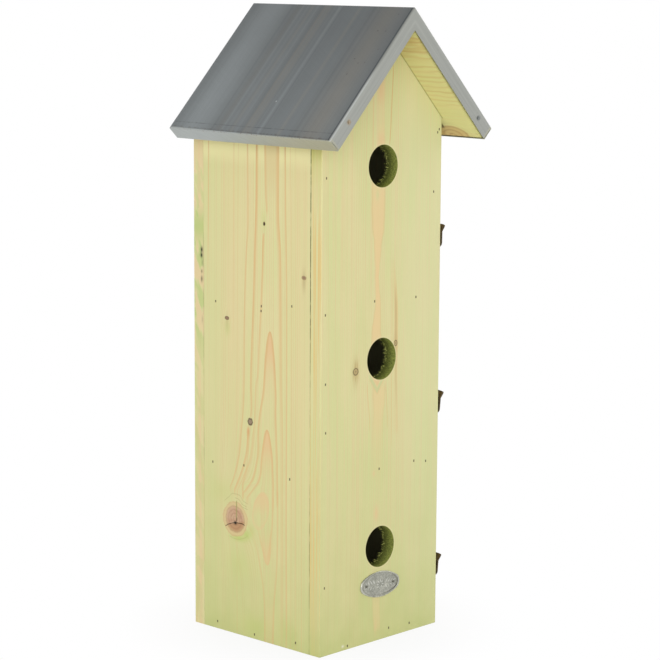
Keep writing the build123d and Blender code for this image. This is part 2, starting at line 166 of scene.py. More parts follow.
class Nodes:
    """Short calls that add and link the nodes of one material or world."""

    def __init__(self, owner):
        owner.use_nodes = True
        self.tree = owner.node_tree
        self.tree.nodes.clear()

    def feed(self, socket, value):
        """Sets a socket, or links it to a value or to another node's socket."""
        if isinstance(value, Value):
            value = value.socket
        if isinstance(value, bpy.types.NodeSocket):
            self.tree.links.new(value, socket)
        else:
            socket.default_value = value

    def add(self, kind, inputs=None, **settings):
        node = self.tree.nodes.new(kind)
        for key, value in settings.items():
            setattr(node, key, value)
        for name, value in (inputs or {}).items():
            self.feed(node.inputs[name], value)
        return node

    def math(self, operation, *values, clamp=False):
        node = self.add("ShaderNodeMath", dict(enumerate(values)), operation=operation, use_clamp=clamp)
        return Value(self, node.outputs[0])

    def mix_shaders(self, share, first, second):
        inputs = {0: share, 1: first.outputs[0], 2: second.outputs[0]}
        return self.add("ShaderNodeMixShader", inputs).outputs[0]


class Shade(Nodes):
    """A surface that is painted in coats: each coat covers the colour so far by its share.

    place is (across, along, depth) on the board, in millimetres, and along runs with the grain."""

    def __init__(self, name, metallic=0.0, roughness=0.6, specular=0.5):
        self.material = bpy.data.materials.new(name)
        super().__init__(self.material)
        self.surface = self.add("ShaderNodeBsdfPrincipled", {
            "Metallic": metallic, "Roughness": roughness, "Specular IOR Level": specular,
        })
        self.add("ShaderNodeOutputMaterial", {"Surface": self.surface.outputs[0]})
        metres = self.add("ShaderNodeTexCoord").outputs["Object"]
        millimetres = self.add("ShaderNodeVectorMath", {0: metres, "Scale": 1 / MM}, operation="SCALE")
        split = self.add("ShaderNodeSeparateXYZ", {0: millimetres.outputs[0]})
        self.x, self.y, self.z = (Value(self, socket) for socket in split.outputs)
        self.place = (self.x, self.y, self.z)
        self.colour = None

    def spot(self, centre, size):
        """A soft oval spot on the board, 1 in its middle."""
        across, along = self.place[:2]
        return across.bell(centre[0], size[0]) * along.bell(centre[1], size[1])

    def length(self, right, up):
        """Length of the way right and up."""
        return self.math("SQRT", right * right + up * up)

    def noise(self, sizes, place=None, detail=2.0, roughness=0.5, seed=0.0):
        """Noise from 0 to 1. sizes is its grain in millimetres: one number, or one for each way of place."""
        sizes = sizes if isinstance(sizes, tuple) else (sizes,) * 3
        parts = [part / size + seed for part, size in zip(place or self.place, sizes)]
        join = self.add("ShaderNodeCombineXYZ", dict(enumerate(parts)))
        inputs = {"Vector": join.outputs[0], "Scale": 1.0, "Detail": detail, "Roughness": roughness}
        return Value(self, self.add("ShaderNodeTexNoise", inputs).outputs["Fac"])

    def mix(self, share, first, second):
        return self.add("ShaderNodeMix", {0: share, 6: first, 7: second}, data_type="RGBA").outputs[2]

    def lighten(self, colour, factor):
        """The colour times a number that changes over the surface."""
        colour = colour[:3] if isinstance(colour, tuple) else colour
        return self.add("ShaderNodeVectorMath", {0: colour, "Scale": factor}, operation="SCALE").outputs[0]

    def coat(self, share, ink):
        self.colour = self.mix(share, self.colour, ink)

    def dim(self, factor):
        self.colour = self.lighten(self.colour, factor)

    def bump(self, height, depth):
        """Surface relief; height from 0 to 1 stands for depth in millimetres."""
        node = self.add("ShaderNodeBump", {"Strength": 1.0, "Distance": depth * MM, "Height": height})
        self.feed(self.surface.inputs["Normal"], node.outputs["Normal"])

    def paint(self, roughness=None):
        """Closes the surface with its last colour, and returns the material."""
        self.feed(self.surface.inputs["Base Color"], self.colour)
        if roughness is not None:
            self.feed(self.surface.inputs["Roughness"], roughness)
        return self.material


# Colours of the stained pine
PALE = tone(223, 214, 161)
GREEN = tone(209, 214, 150)
PEACH = tone(226, 202, 152)
LINE = tone(220, 184, 130)
FINE = tone(216, 193, 138)
SALMON = tone(227, 193, 144)
BLACK = tone(30, 26, 16)
GLOW = tone(190, 204, 118)
# Entrance bore walls: stain taken up by the end grain together with painted shade, darker deeper in
BORE_STAIN_AND_SHADE = tone(132, 140, 66)
BORE_DEEP_SHADE = tone(98, 104, 48)


# Added to a place across the board before it is divided into growth rings, so that no ring has a number below 0
RING_START = 200.0


def late_edge(offset, soft, sharp=0.5):
    """A latewood line: it comes up softly below its place and stops sharply above it."""
    return offset.step(-soft, -0.1 * soft) * offset.step(sharp, 0.0)


def draw_line(shade, points, side, soft, amounts, ink=LINE):
    """A latewood line through (along, across) points. It ends sharply on the given side."""
    across, along = shade.place[:2]
    offset = (across - along.curve(points)) * side
    shade.coat(late_edge(offset, soft) * along.curve(amounts), ink)


def outside_arch(shade, axis, spread, rise):
    """Distance outside a pointed arch. axis is its middle and spread its squared half width, both over the
    place along the grain; rise is how fast the squared half width grows at the arch's point."""
    across, along = shade.place[:2]
    right = across - along.curve(axis)
    gap = right * right - along.curve(spread)
    slope = shade.math("SQRT", right * right * 4.0 + rise * rise)
    return gap / slope


def draw_arch(shade, arch, soft, amounts, filling):
    """A pointed arch with an outline and a softer filling."""
    along = shade.place[1]
    outside = outside_arch(shade, *arch)
    shade.coat(outside.step(0.5, -0.3) * along.curve(filling), SALMON)
    shade.coat(late_edge(outside, soft) * along.curve(amounts), LINE)


def pine_surface(shade, radius, seed, line_share, green_share):
    """Colour of the stained pine from its growth rings; radius counts them."""
    wander = shade.noise((12.0, 300.0, 12.0), detail=1.0, seed=seed)
    radius = radius + (wander - 0.5) * 0.35
    part = shade.math("FRACT", radius)
    weight = shade.math("FLOOR", radius).chance(seed)
    late = part.step(0.45, 0.9) * part.step(1.0, 0.94)
    late = late * weight.step(0.0, 1.0, 0.15, 1.0)
    blotch = shade.noise((22.0, 110.0, 22.0), seed=seed + 11)
    streak = shade.noise((1.5, 240.0, 1.5), detail=3.0, roughness=0.6, seed=seed + 23)
    fibre = shade.noise((0.25, 14.0, 0.25), detail=3.0, roughness=0.65, seed=seed + 31)
    pore = shade.noise((0.45, 3.0, 0.45), seed=seed + 41)
    green = blotch * 0.6 + streak * 0.4
    green = green.step(0.38, 0.64) * green_share
    shade.colour = shade.mix(green, PALE, GREEN)
    warm = streak.step(0.52, 0.34) * 0.35
    shade.coat(warm, PEACH)
    shade.coat(late * line_share, FINE)
    grain = 1.0 + (fibre - 0.5) * 0.1 + (pore - 0.5) * 0.06 + (streak - 0.5) * 0.07
    shade.dim(grain)
    relief = fibre * 0.6 + late * 0.5 + pore * 0.3
    shade.bump(relief, 0.05)


def greener_darker_foot(shade):
    """Greener and a little darker wood towards the foot."""
    height = shade.place[1]
    patch = shade.noise((18.0, 26.0, 18.0), seed=45.0)
    share = height.curve([(0, 0.62), (16, 0.5), (40, 0.36), (75, 0.24), (120, 0.13), (200, 0.0)])
    shade.coat(share * patch.step(0.2, 0.8, 0.75, 1.25), tone(188, 196, 126))


def swerve(across, along, knots):
    """The position across the board with the grain led round its knots."""
    for centre, size in knots:
        near = across.bell(centre[0], 2.2 * size[0]) * along.bell(centre[1], 3.4 * size[1])
        across = across - (across - centre[0]) * near * 0.75
    return across


def draw_knot(shade, centre, size, seed, smear):
    """A round knot with a dark rim and a stain along the grain above and below it."""
    across, along = shade.place[:2]
    core, edge = tone(182, 160, 112), tone(104, 90, 58)
    trail = shade.spot(centre, (1.1 * size[0], 3.4 * size[1])) * smear
    streaks = shade.noise((0.8, 9.0, 0.8), detail=3.0, seed=seed + 7)
    shade.coat(trail * streaks.step(0.35, 0.62, 0.45, 1.3), tone(190, 160, 108))
    ragged = shade.noise(1.5, detail=3.0, seed=seed)
    right = (across - centre[0]) / size[0]
    up = (along - centre[1]) / size[1]
    reach = shade.length(right, up) + (ragged - 0.5) * 0.35
    inside = reach.step(1.05, 0.9)
    shade.coat(inside * 0.75, core)
    rim = reach.bell(0.92, 0.16) * 0.9
    shade.coat(rim, edge)
    middle = reach.step(0.45, 0.1) * 0.45
    shade.coat(middle, edge)


def dark_joint(shade, distance, seed, amounts, width=0.55):
    """Dark green stain that has gathered in a joint between two boards; distance is measured from the joint."""
    patch = shade.noise((5.0, 7.0, 5.0), detail=3.0, seed=seed)
    share = distance.step(width, 0.2 * width) * patch.step(0.34, 0.56, 0.3, 1.0)
    shade.coat(share * shade.place[1].curve(amounts), tone(80, 84, 36))


def edge_joint(shade, joint_y):
    """Distance from the joint line that a front or back panel has on its side edges."""
    return shade.math("MAXIMUM", abs(shade.y - joint_y), half_width - abs(shade.x))


def left_edge(shade):
    """1 on the left edge of a front or back panel."""
    return shade.x.step(-half_width + 0.4, -half_width + 0.1)


def inner_face(depth):
    """1 on the inner face of a board, from its depth below the outer one."""
    return depth.step(board_thickness - 0.6, board_thickness - 0.1)


def between_sides(shade):
    """1 between the side boards, on the faces of a front or back panel."""
    return abs(shade.x).step(half_width - 10.6, half_width - 11.2)


def paint_inside_shade(shade, share, factor=0.16):
    """Painted shade: the same wood darkened on the faces inside the box, where little light reaches."""
    shade.dim(1.0 + share * (factor - 1.0))


# Front panel: straight fine grain, a peach streak down the line of the entrances and two small knots.
# The streak has a middle, a half width and a strength at each height; knots are (centre, size).
FRONT_RING = 2.45
STREAK_CENTRE = [
    (0, -3), (8, -2.5), (32, -3.8), (100, -2), (162, -3.6), (195, -2.5), (240, -6.1), (268, -4.6),
    (286, -5.8), (299, -5.4), (325, -5), (353, -5), (392, -2.2), (473, -3)
]
STREAK_HALF = [
    (0, 3.4), (8, 3.6), (32, 4), (60, 4), (100, 2.4), (130, 3.5), (162, 5.6), (180, 5.6), (195, 6.6),
    (203, 6), (240, 5), (254, 3.9), (268, 2.7), (286, 2.1), (299, 2.9), (315, 4.4), (325, 6.4), (353, 7.2),
    (392, 3.5), (473, 4.5)
]
STREAK_DEPTH = [
    (0, 0), (7, 0.05), (13, 0.38), (31, 0.35), (60, 0), (110, 0), (125, 0.05), (150, 0.18), (180, 0.5),
    (197, 0.62), (203, 0.3), (240, 0.85), (286, 0.9), (340, 0.8), (355, 0.65), (392, 0.5), (410, 0.25),
    (440, 0.4), (473, 0.2)
]
FRONT_KNOTS = [((-28.9, 216.2), (2.9, 2.7)), ((15.9, 233.0), (1.9, 2.3))]


def bore_mask(shade):
    """1 on the walls of the entrance bores, and the distance from the nearest entrance's axis."""
    rises = [abs(shade.z - height) for height in entrance_heights]
    nearest = shade.math("MINIMUM", shade.math("MINIMUM", rises[0], rises[1]), rises[2])
    distance = shade.length(shade.x, nearest)
    return (distance.step(entrance_radius + 0.45, entrance_radius + 0.1), distance)


def front_material():
    shade = Shade("pine_front", roughness=0.62, specular=0.25)
    depth = shade.y - front_face
    shade.place = (shade.x, shade.z, depth)
    across = swerve(shade.x, shade.z, FRONT_KNOTS)
    drift = (shade.noise((70.0, 260.0, 70.0), detail=0.0, seed=3.0) - 0.5) * 7.0
    radius = (across + drift + depth * 0.35 + RING_START) / FRONT_RING
    pine_surface(shade, radius, seed=5.0, line_share=0.28, green_share=0.62)
    shade.coat(shade.x.step(0.0, 50.0, 0.0, 0.3), tone(224, 226, 176))
    greener_darker_foot(shade)
    rise = ridge_height - ROOF_BUILD / math.cos(roof_pitch) - shade.z
    roof_gap = rise * math.cos(roof_pitch) - abs(shade.x) * math.sin(roof_pitch)
    # Painted light under the roof's edge, on the left half of the front where the verge's shade falls
    painted_light_under_eave(shade, roof_gap, shade.x.step(10.0, -20.0, 0.0, 0.55))
    centre = shade.z.curve(STREAK_CENTRE)
    half = shade.z.curve(STREAK_HALF)
    amount = shade.z.curve(STREAK_DEPTH)
    sway = (shade.noise((30.0, 9.0, 30.0), detail=3.0, roughness=0.6, seed=9.0) - 0.5) * 2.2
    offset = abs(shade.x - centre + sway)
    reach = offset / half
    shade.coat(reach.step(1.12, 0.72) * amount, tone(231, 204, 151))
    shade.coat(reach.bell(0.98, 0.13) * amount * 0.5, tone(222, 188, 132))
    island = shade.spot((-6.0, 349.0), (1.8, 4.5)) * 0.75
    shade.coat(island, tone(214, 210, 152))
    chevron(shade)
    for points, side, soft, amounts, ink in FRONT_LINES:
        draw_line(shade, points, side, soft, amounts, ink)
    for centre_point, size, share in FRONT_SPOTS:
        shade.coat(shade.spot(centre_point, size) * share, tone(229, 196, 148))
    for number, (knot_centre, knot_size) in enumerate(FRONT_KNOTS):
        draw_knot(shade, knot_centre, knot_size, seed=50.0 + number, smear=0.85 - 0.5 * number)
    fleck = shade.spot((-41.3, 3.5), (1.3, 1.0)) * 0.8
    shade.coat(fleck, tone(238, 236, 222))
    wall, distance = bore_mask(shade)
    # Painted highlight: a paler ring on the front face along each entrance's cut edge
    rim = distance.step(entrance_radius + 1.6, entrance_radius + 0.5) * depth.step(1.0, 0.0) * 0.5
    shade.coat(rim, tone(232, 220, 172))
    # Painted shade on the bore walls, darker towards the inner face; their olive tone is partly stain in the
    # end grain
    deep = depth.step(1.0, board_thickness)
    fuzz = shade.noise((0.7, 1.6, 0.7), place=(shade.x, shade.y, shade.z), detail=4.0, roughness=0.7, seed=17.0)
    bore_stain_and_shade = shade.lighten(shade.mix(deep, BORE_STAIN_AND_SHADE, BORE_DEEP_SHADE), fuzz.step(0.32, 0.68, 0.5, 1.35))
    shade.coat(wall, bore_stain_and_shade)
    on_edge = left_edge(shade)
    edge_lines = shade.noise((0.9, 120.0, 20.0), place=(shade.y, shade.z, depth), detail=3.0, seed=19.0)
    edge_warm = on_edge * edge_lines.step(0.5, 0.62) * shade.z.curve(EDGE_WARM)
    shade.coat(edge_warm, tone(226, 194, 128))
    edge_green = on_edge * shade.z.curve(EDGE_GREEN) * edge_lines.step(0.35, 0.6, 0.6, 1.0)
    shade.coat(edge_green, tone(186, 190, 96))
    dark_joint(shade, edge_joint(shade, front_inner), seed=61.0, amounts=FRONT_JOINT)
    # Painted shade on the front panel's inner face between the side boards
    behind = depth.step(board_thickness - 0.3, board_thickness - 0.05)
    paint_inside_shade(shade, behind * between_sides(shade))
    return shade.paint()


def painted_light_under_eave(shade, gap, share):
    """Painted light: paler wood under the eave, which lifts the shade that the eave casts there; gap is the
    distance below the roof.
    """
    shade.coat(gap.step(20.0, 1.0) * share, tone(238, 231, 176))


def chevron(shade):
    """The green V under the middle entrance, with a peach tip in it."""
    side = abs(shade.x + 4.7)
    rise = shade.z - 196.5 - side * 1.4
    below = side.step(9.5, 8.0) * shade.z.step(214.0, 211.0)
    green = rise.step(-0.8, 0.5) * rise.step(5.0, 3.4) * below * 0.55
    shade.coat(green, tone(196, 204, 146))
    ink = rise.bell(-0.9, 0.7) * below * 0.35
    shade.coat(ink, LINE)
    tip = rise.step(4.4, 6.0) * below * 0.7
    shade.coat(tip, SALMON)


# Thin lines of the front: (points, sharp side, soft width, share over the height, colour)
ORANGE = tone(222, 190, 136)
FRONT_LINES = [
    ([(385, 7), (395, 8), (415, 9), (440, 10.5)], 1, 1.2,
     [(385, 0), (392, 0.8), (405, 0.9), (435, 0.9), (450, 0)], tone(216, 178, 124)),
    ([(385, -12), (430, -12)], -1, 1.1, [(383, 0), (390, 0.5), (420, 0.5), (436, 0)], ORANGE),
    ([(160, 19.8), (190, 18.6), (215, 18), (240, 18.2), (258, 18), (275, 16.6), (294, 14.2), (306, 13.4)], 1,
     7, [(160, 0), (172, 0.4), (195, 0.35), (215, 0.5), (236, 0.7), (262, 0.75), (282, 0.5), (304, 0)],
     tone(221, 197, 141)),
    ([(190, 17.6), (215, 16.8), (240, 16.6), (258, 16.4), (275, 15.6)], 1, 2.4,
     [(180, 0), (200, 0.35), (225, 0.5), (240, 0.65), (256, 0.75), (272, 0.3), (280, 0)],
     tone(198, 168, 116)),
    ([(150, 12.6), (200, 12), (262, 11.6), (290, 10.6)], 1, 1.1, [(150, 0), (170, 0.5), (250, 0.6), (292, 0)],
     ORANGE),
    ([(176, -13), (200, -16)], -1, 1.2, [(165, 0), (178, 0.55), (198, 0.55), (206, 0)], ORANGE),
    ([(176, 7.6), (200, 5.4)], 1, 1.2, [(165, 0), (178, 0.55), (198, 0.55), (206, 0)], ORANGE)
]
FRONT_SPOTS = [
    ((-3.2, 427), (3.6, 9), 0.65), ((-2.8, 389), (3.8, 7), 0.55), ((-7.6, 134), (1.6, 2.6), 0.55),
    ((-4.5, 102), (2.4, 6), 0.65), ((-4.2, 12), (1.4, 7), 0.35)
]
EDGE_WARM = [(0, 0.3), (50, 0.5), (110, 0.85), (170, 0.6), (230, 0.95), (310, 0.9), (350, 0.3), (403, 0.1)]
EDGE_GREEN = [(0, 0.15), (30, 0.05), (330, 0.05), (368, 0.25), (385, 0.65), (403, 0.9)]
FRONT_JOINT = [
    (0, 0.5), (20, 0.25), (50, 0.45), (80, 0.5), (120, 0.35), (150, 0.12), (190, 0.35), (240, 0.6),
    (270, 0.9), (403, 1)
]
REAR_JOINT = [
    (0, 0.2), (70, 0.05), (125, 0.05), (140, 0.4), (180, 0.2), (215, 0.35), (300, 0.6), (320, 0.1),
    (403, 0.05)
]


# Left side panel: a flat-sawn board. Its growth rings draw pointed arches in the middle and lines beside them,
# which a large knot low on the panel leads aside.
# Lines: (points, sharp side, soft width, share over the height).
# The flow is how far the large knot leads the grain aside, from 0 to 1 over the height.
SIDE_RING = 1.95
SIDE_FLOW = [
    (12, 0), (35, 0.06), (61, 0.32), (80, 0.66), (92, 0.95), (118, 1), (125, 0.7), (130, 0.58), (140, 0.4),
    (150, 0.27), (160, 0.19), (180, 0.06), (205, 0)
]
SIDE_LINES = [
    ([(270, 53.6), (300, 53), (385, 52)], 1, 1.2, [(250, 0), (290, 0.3), (330, 0.7), (390, 0.8)]),
    ([(230, 25), (385, 24)], 1, 1, [(215, 0), (260, 0.25), (340, 0.4), (400, 0.5)]),
    ([(200, 21), (385, 19)], 1, 0.9, [(200, 0.2), (400, 0.3)]),
    ([(118, 28.5), (125, 25), (140, 20), (150, 18), (160, 17), (180, 14.5), (200, 13.5), (250, 13), (300, 11),
      (330, 9), (385, 9.5)], 1, 2,
     [(112, 0), (116, 0.3), (124, 0.6), (140, 0.65), (170, 0.65), (210, 0.65), (300, 0.7), (400, 0.7)]),
    ([(116, 24), (130, 17), (140, 13), (152, 10), (168, 8.6), (185, 5.5), (200, 6), (230, 5), (270, 3),
      (310, 1.5), (350, 0), (385, -0.2)], 1, 3.2,
     [(110, 0), (114, 0.4), (122, 0.75), (150, 0.8), (163, 1), (170, 0.1), (178, 0.6), (200, 0.75),
      (280, 0.9), (330, 1), (400, 1)]),
    ([(116, 20.5), (128, 14), (136, 10.6), (150, 8.2), (164, 7)], 1, 1.2,
     [(110, 0), (114, 0.4), (140, 0.55), (160, 0.2), (166, 0)]),
    ([(122, 15), (135, 10), (145, 6), (160, 3.5), (180, 1.5), (200, 0.5), (210, -1.5), (240, -3.5),
      (270, -5.5), (290, -6.5), (318, -7.6), (335, -11), (350, -10), (385, -9.2)], 1, 2.8,
     [(108, 0), (113, 0.3), (122, 0.6), (150, 0.5), (200, 0.45), (240, 0.6), (290, 0.85), (313, 1),
      (319, 0.6), (321, 0), (331, 0), (338, 0.6), (360, 0.7), (400, 0.8)]),
    ([(30, -29.5), (150, -29.5), (210, -28), (260, -27.5), (300, -27), (320, -25.6), (345, -24.4),
      (385, -24.6)], -1, 4.6,
     [(0, 0.1), (30, 0.25), (150, 0.35), (200, 0.5), (300, 0.75), (330, 0.85), (400, 0.75)]),
    ([(23, -34.2), (117, -33.5), (260, -33.5), (300, -33), (340, -32), (385, -31.5)], -1, 2.1,
     [(0, 0.35), (60, 0.6), (150, 0.6), (220, 0.6), (320, 0.75), (400, 0.8)]),
    ([(20, -38.6), (300, -38), (385, -36.6)], -1, 1, [(0, 0.25), (150, 0.4), (300, 0.3), (400, 0.3)]),
    ([(20, -43.6), (200, -43), (385, -42)], -1, 1, [(0, 0.25), (120, 0.35), (250, 0.1), (400, 0.2)]),
    ([(20, -50), (160, -49.5)], -1, 1, [(0, 0.3), (100, 0.4), (160, 0.25), (220, 0)]),
    ([(5, -19.5), (30, -20.5), (45, -22), (63, -23.5), (100, -24.5), (118, -24.3)], -1, 2.4,
     [(0, 0.6), (40, 0.5), (118, 0.55), (124, 0)]),
    ([(4, -9.7), (35, -8.7), (61, -4), (80, 2), (86, 6)], 1, 2.2, [(0, 0.5), (40, 0.45), (80, 0.3), (90, 0)]),
    ([(62, -11.8), (75, -15.5), (85, -17), (95, -18.5), (112, -19.4)], -1, 2.2,
     [(64, 0), (74, 0.4), (112, 0.5), (118, 0)])
]
# Arches: (axis, squared half width, its growth), soft width, outline share, filling share
SIDE_ARCHES = [
    (([(114.6, -4.85), (122, -8.1), (130, -10.5), (140, -11.9), (150, -12.75), (165, -12.4), (180, -13),
       (200, -15), (245, -15.2)],
      [(114.6, 382), (122, 259), (130, 182), (140, 142), (150, 116), (165, 107), (180, 81), (200, 49),
       (215, 35), (230, 18), (245, 0), (275, -36)], 1.2), 3.6,
     [(109, 0), (114, 0.5), (125, 0.65), (160, 0.7), (200, 0.85), (240, 1), (250, 1)],
     [(188, 0), (204, 0.15), (215, 0.35), (226, 0.75), (237, 1), (250, 1)]),
    (([(112, -4.7), (120, -8.25), (128, -11.2), (135, -12), (160, -12.25), (168.5, -12.2)],
      [(112, 216), (120, 126), (128, 68), (135, 50), (143, 42), (160, 14), (168.5, 0), (190, -35)], 1.65),
     3.4, [(105, 0), (111, 0.4), (120, 0.6), (140, 0.75), (172, 0.9)],
     [(120, 0), (134, 0.12), (146, 0.4), (158, 0.85), (172, 1)]),
    (([(62, -12.7), (72, -12), (82, -10.5), (92, -9)], [(40, -46), (62, 0), (72, 20), (82, 42), (92, 60)],
      2.1), 3.6, [(58, 0.3), (72, 0.35), (84, 0.2), (92, 0)], [(58, 0.6), (70, 0.5), (84, 0.15), (92, 0)])
]
BIG_KNOT = ((22.9, 92.4), (12.6, 12.8))
SIDE_KNOTS = [
    ((-8.9, 326.8), (1.2, 1.6)), ((-51.1, 289.8), (2.5, 2.4)), ((31.8, 250.3), (2.4, 2.2)),
    ((6.1, 172.3), (2.9, 2.9))
]
# Green glow in the stain: (centre, size, share)
SIDE_GLOWS = [
    ((-8.4, 330), (2.6, 8), 0.25), ((19, 78), (8, 2.8), 0.8), ((10.5, 82), (4, 3.6), 0.8),
    ((5, 85.5), (4, 5), 0.4), ((2, 10), (16, 9), 0.35), ((31, 243), (3, 6), 0.35),
    ((38, 112), (12, 10), 0.25), ((-36, 12), (14, 12), 0.15), ((18, 58), (14, 12), 0.3)
]


def side_material():
    shade = Shade("pine_side", roughness=0.62, specular=0.25)
    depth = shade.x + half_width
    across = swerve(shade.y, shade.z, SIDE_KNOTS)
    lean = shade.z.curve(SIDE_FLOW) * shade.y.bell(16.0, 17.0) * 18.0
    flow = across - lean
    radius = (flow + RING_START) / SIDE_RING
    shade.place = (flow, shade.z, depth)
    pine_surface(shade, radius, seed=71.0, line_share=0.48, green_share=0.45)
    shade.place = (shade.y, shade.z, depth)
    rosy = shade.math("MAXIMUM", shade.y.bell(26.0, 13.0), shade.y.bell(-47.0, 9.0))
    shade.coat(rosy * shade.z.step(110.0, 190.0) * 0.25, PEACH)
    rear_green = shade.y.step(36.0, 46.0) * 0.3
    shade.coat(rear_green, GREEN)
    greener_darker_foot(shade)
    # Painted light that lifts the shade under the eave
    painted_light_under_eave(shade, 386.0 - shade.z, 0.95)
    tan_zone = shade.y.step(-25.0, -22.0) * shade.y.step(-9.0, -12.0) * shade.z.step(335.0, 378.0) * 0.6
    shade.coat(tan_zone, tone(218, 196, 146))
    foot_zone = shade.y.step(-20.0, -18.0) * shade.y.step(-9.5, -11.5) * shade.z.step(55.0, 15.0) * 0.35
    shade.coat(foot_zone, PEACH)
    for centre_point, size, share in SIDE_GLOWS:
        shade.coat(shade.spot(centre_point, size) * share, GLOW)
    for arch, soft, amounts, filling in SIDE_ARCHES:
        draw_arch(shade, arch, soft, amounts, filling)
    for points, side, soft, amounts in SIDE_LINES:
        draw_line(shade, points, side, soft, amounts)
    side_loop(shade)
    mark = shade.spot((8.4, 164.2), (1.2, 3.2)) * 0.9
    shade.coat(mark, tone(216, 164, 112))
    small_knots(shade)
    big_knot(shade)
    dark_joint(shade, shade.y - front_inner, seed=61.0, amounts=FRONT_JOINT, width=0.8)
    dark_joint(shade, -front_inner - shade.y, seed=63.0, amounts=REAR_JOINT)
    # Painted shade on the side panel's inner face
    paint_inside_shade(shade, inner_face(depth))
    return shade.paint()


def side_loop(shade):
    """The closed ring between the second arch and the large knot."""
    across, along = shade.place[:2]
    middle = -5.4 + (along - 103.6) * -0.2
    right = (across - middle) / 8.6
    up = (along - 103.6) / 15.2
    reach = shade.length(right, up)
    filled = reach.step(1.05, 0.85) * along.step(98.0, 112.0, 0.08, 0.65)
    shade.coat(filled, tone(226, 196, 146))
    outline = late_edge(reach - 1.0, 0.3, 0.06) * along.step(88.0, 104.0, 0.3, 0.4)
    shade.coat(outline, SALMON)


def small_knots(shade):
    """The four small knots, each with its own dark core."""
    across, along = shade.place[:2]
    ragged = shade.noise(1.3, detail=3.0, seed=81.0)
    for (centre, size), (core, rim, streak) in zip(
        SIDE_KNOTS,
        (
            (BLACK, tone(112, 86, 56), 0.15), (tone(146, 120, 92), tone(172, 146, 108), 0.55),
            (tone(150, 122, 96), tone(116, 92, 66), 0.25), (tone(158, 138, 112), tone(104, 86, 64), 0.1)
        )
    ):
        stain = shade.spot((centre[0], centre[1] - size[1]), (0.7 * size[0], 3.2 * size[1])) * streak
        shade.coat(stain, tone(176, 152, 108))
        right = (across - centre[0]) / size[0]
        up = (along - centre[1]) / (size[1] if size[0] < 2 or size[0] > 2.8 else 0.68 * size[1])
        reach = shade.length(right, up) + (ragged - 0.5) * 0.6
        shade.coat(reach.step(1.15, 0.85) * 0.95, rim)
        shade.coat(reach.step(0.8, 0.5) * 0.9, core)


def big_knot(shade):
    """The large rosy knot low on the side, with cracks across its core."""
    across, along = shade.place[:2]
    (knot_y, knot_z), (half_y, half_z) = BIG_KNOT
    ragged = shade.noise(4.0, detail=3.0, seed=90.0)
    right = (across - knot_y) / half_y
    up = (along - knot_z) / half_z
    reach = shade.length(right, up) + (ragged - 0.5) * 0.26
    for points, amount in KNOT_ARCS:
        draw_arc(shade, points, amount)
    halo = reach.step(1.14, 0.98) * 0.85
    shade.coat(halo, tone(216, 192, 142))
    outer = reach.bell(1.05, 0.035) * 0.5
    shade.coat(outer, tone(206, 168, 122))
    core = reach.step(0.94, 0.64) * 0.92
    lower = (along + across * 0.3).step(97.4, 95.0)
    core_colour = shade.mix(ragged.step(0.35, 0.65), tone(204, 170, 140), tone(194, 152, 124))
    core_colour = shade.mix(lower * 0.8, core_colour, tone(180, 134, 92))
    shade.coat(core, core_colour)
    rings = shade.math("FRACT", reach * 4.6)
    ring_lines = rings.bell(0.7, 0.2) * reach.step(0.95, 0.8) * 0.28
    shade.coat(ring_lines, tone(156, 108, 80))
    dark_crack(shade)
    green_crack(shade)
    # Painted shade: the small hole in the knot is a black spot without depth
    hole_shade = shade.spot((22.7, 89.4), (1.5, 1.3)) * 1.3
    shade.coat(shade.math("MINIMUM", hole_shade, 1.0), BLACK)


# The dark crack of the large knot as (across, along) points, and the thin arcs of the grain around it, each
# with its share
KNOT_CRACK = [(11.6, 88.9), (16.0, 89.9), (20.5, 89.7), (24.0, 89.3), (29.0, 87.6), (34.5, 84.8)]
CRACK_WIDTH = 0.55
KNOT_ARCS = [
    ([(8, 106.6), (14, 108.4), (18, 112.2), (24, 112.6), (30, 109), (36, 104.6)], 0.25),
    ([(9, 104), (15, 105.6), (19, 108.8), (24, 109.6)], 0.3),
    ([(8, 102.2), (13, 103), (20, 104.6)], 0.3),
    ([(8, 82), (14, 78.4), (22, 76.6), (30, 78)], 0.2)
]


def draw_arc(shade, points, amount):
    """A thin line whose height is given over its place across the face."""
    across, along = shade.place[:2]
    gap = abs(along - across.curve(points))
    ends = across.step(points[0][0], points[0][0] + 2.0) * across.step(points[-1][0], points[-1][0] - 2.0)
    shade.coat(gap.step(0.55, 0.15) * ends * amount, tone(150, 138, 84))


def dark_crack(shade):
    """The dark drying crack across the core of the large knot."""
    across, along = shade.place[:2]
    first, last = KNOT_CRACK[0][0], KNOT_CRACK[-1][0]
    jitter = (shade.noise(1.6, seed=98.0) - 0.5) * 0.9
    gap = abs(along - across.curve(KNOT_CRACK) + jitter)
    ends = across.step(first, first + 1.5) * across.step(last, last - 1.5)
    shade.coat(gap.step(CRACK_WIDTH, 0.3 * CRACK_WIDTH) * ends * 0.95, tone(62, 46, 28))


def green_crack(shade):
    """The green crack that goes straight down into the core of the large knot."""
    across, along = shade.place[:2]
    bend = (shade.noise(2.5, seed=97.0) - 0.5) * 1.4
    gap = abs(across - 21.3 + bend)
    share = gap.step(0.8, 0.25) * along.step(108.0, 106.5) * along.step(90.0, 91.5) * 0.75
    shade.coat(share, shade.mix(along.step(96.0, 91.5), tone(152, 156, 88), tone(70, 62, 32)))


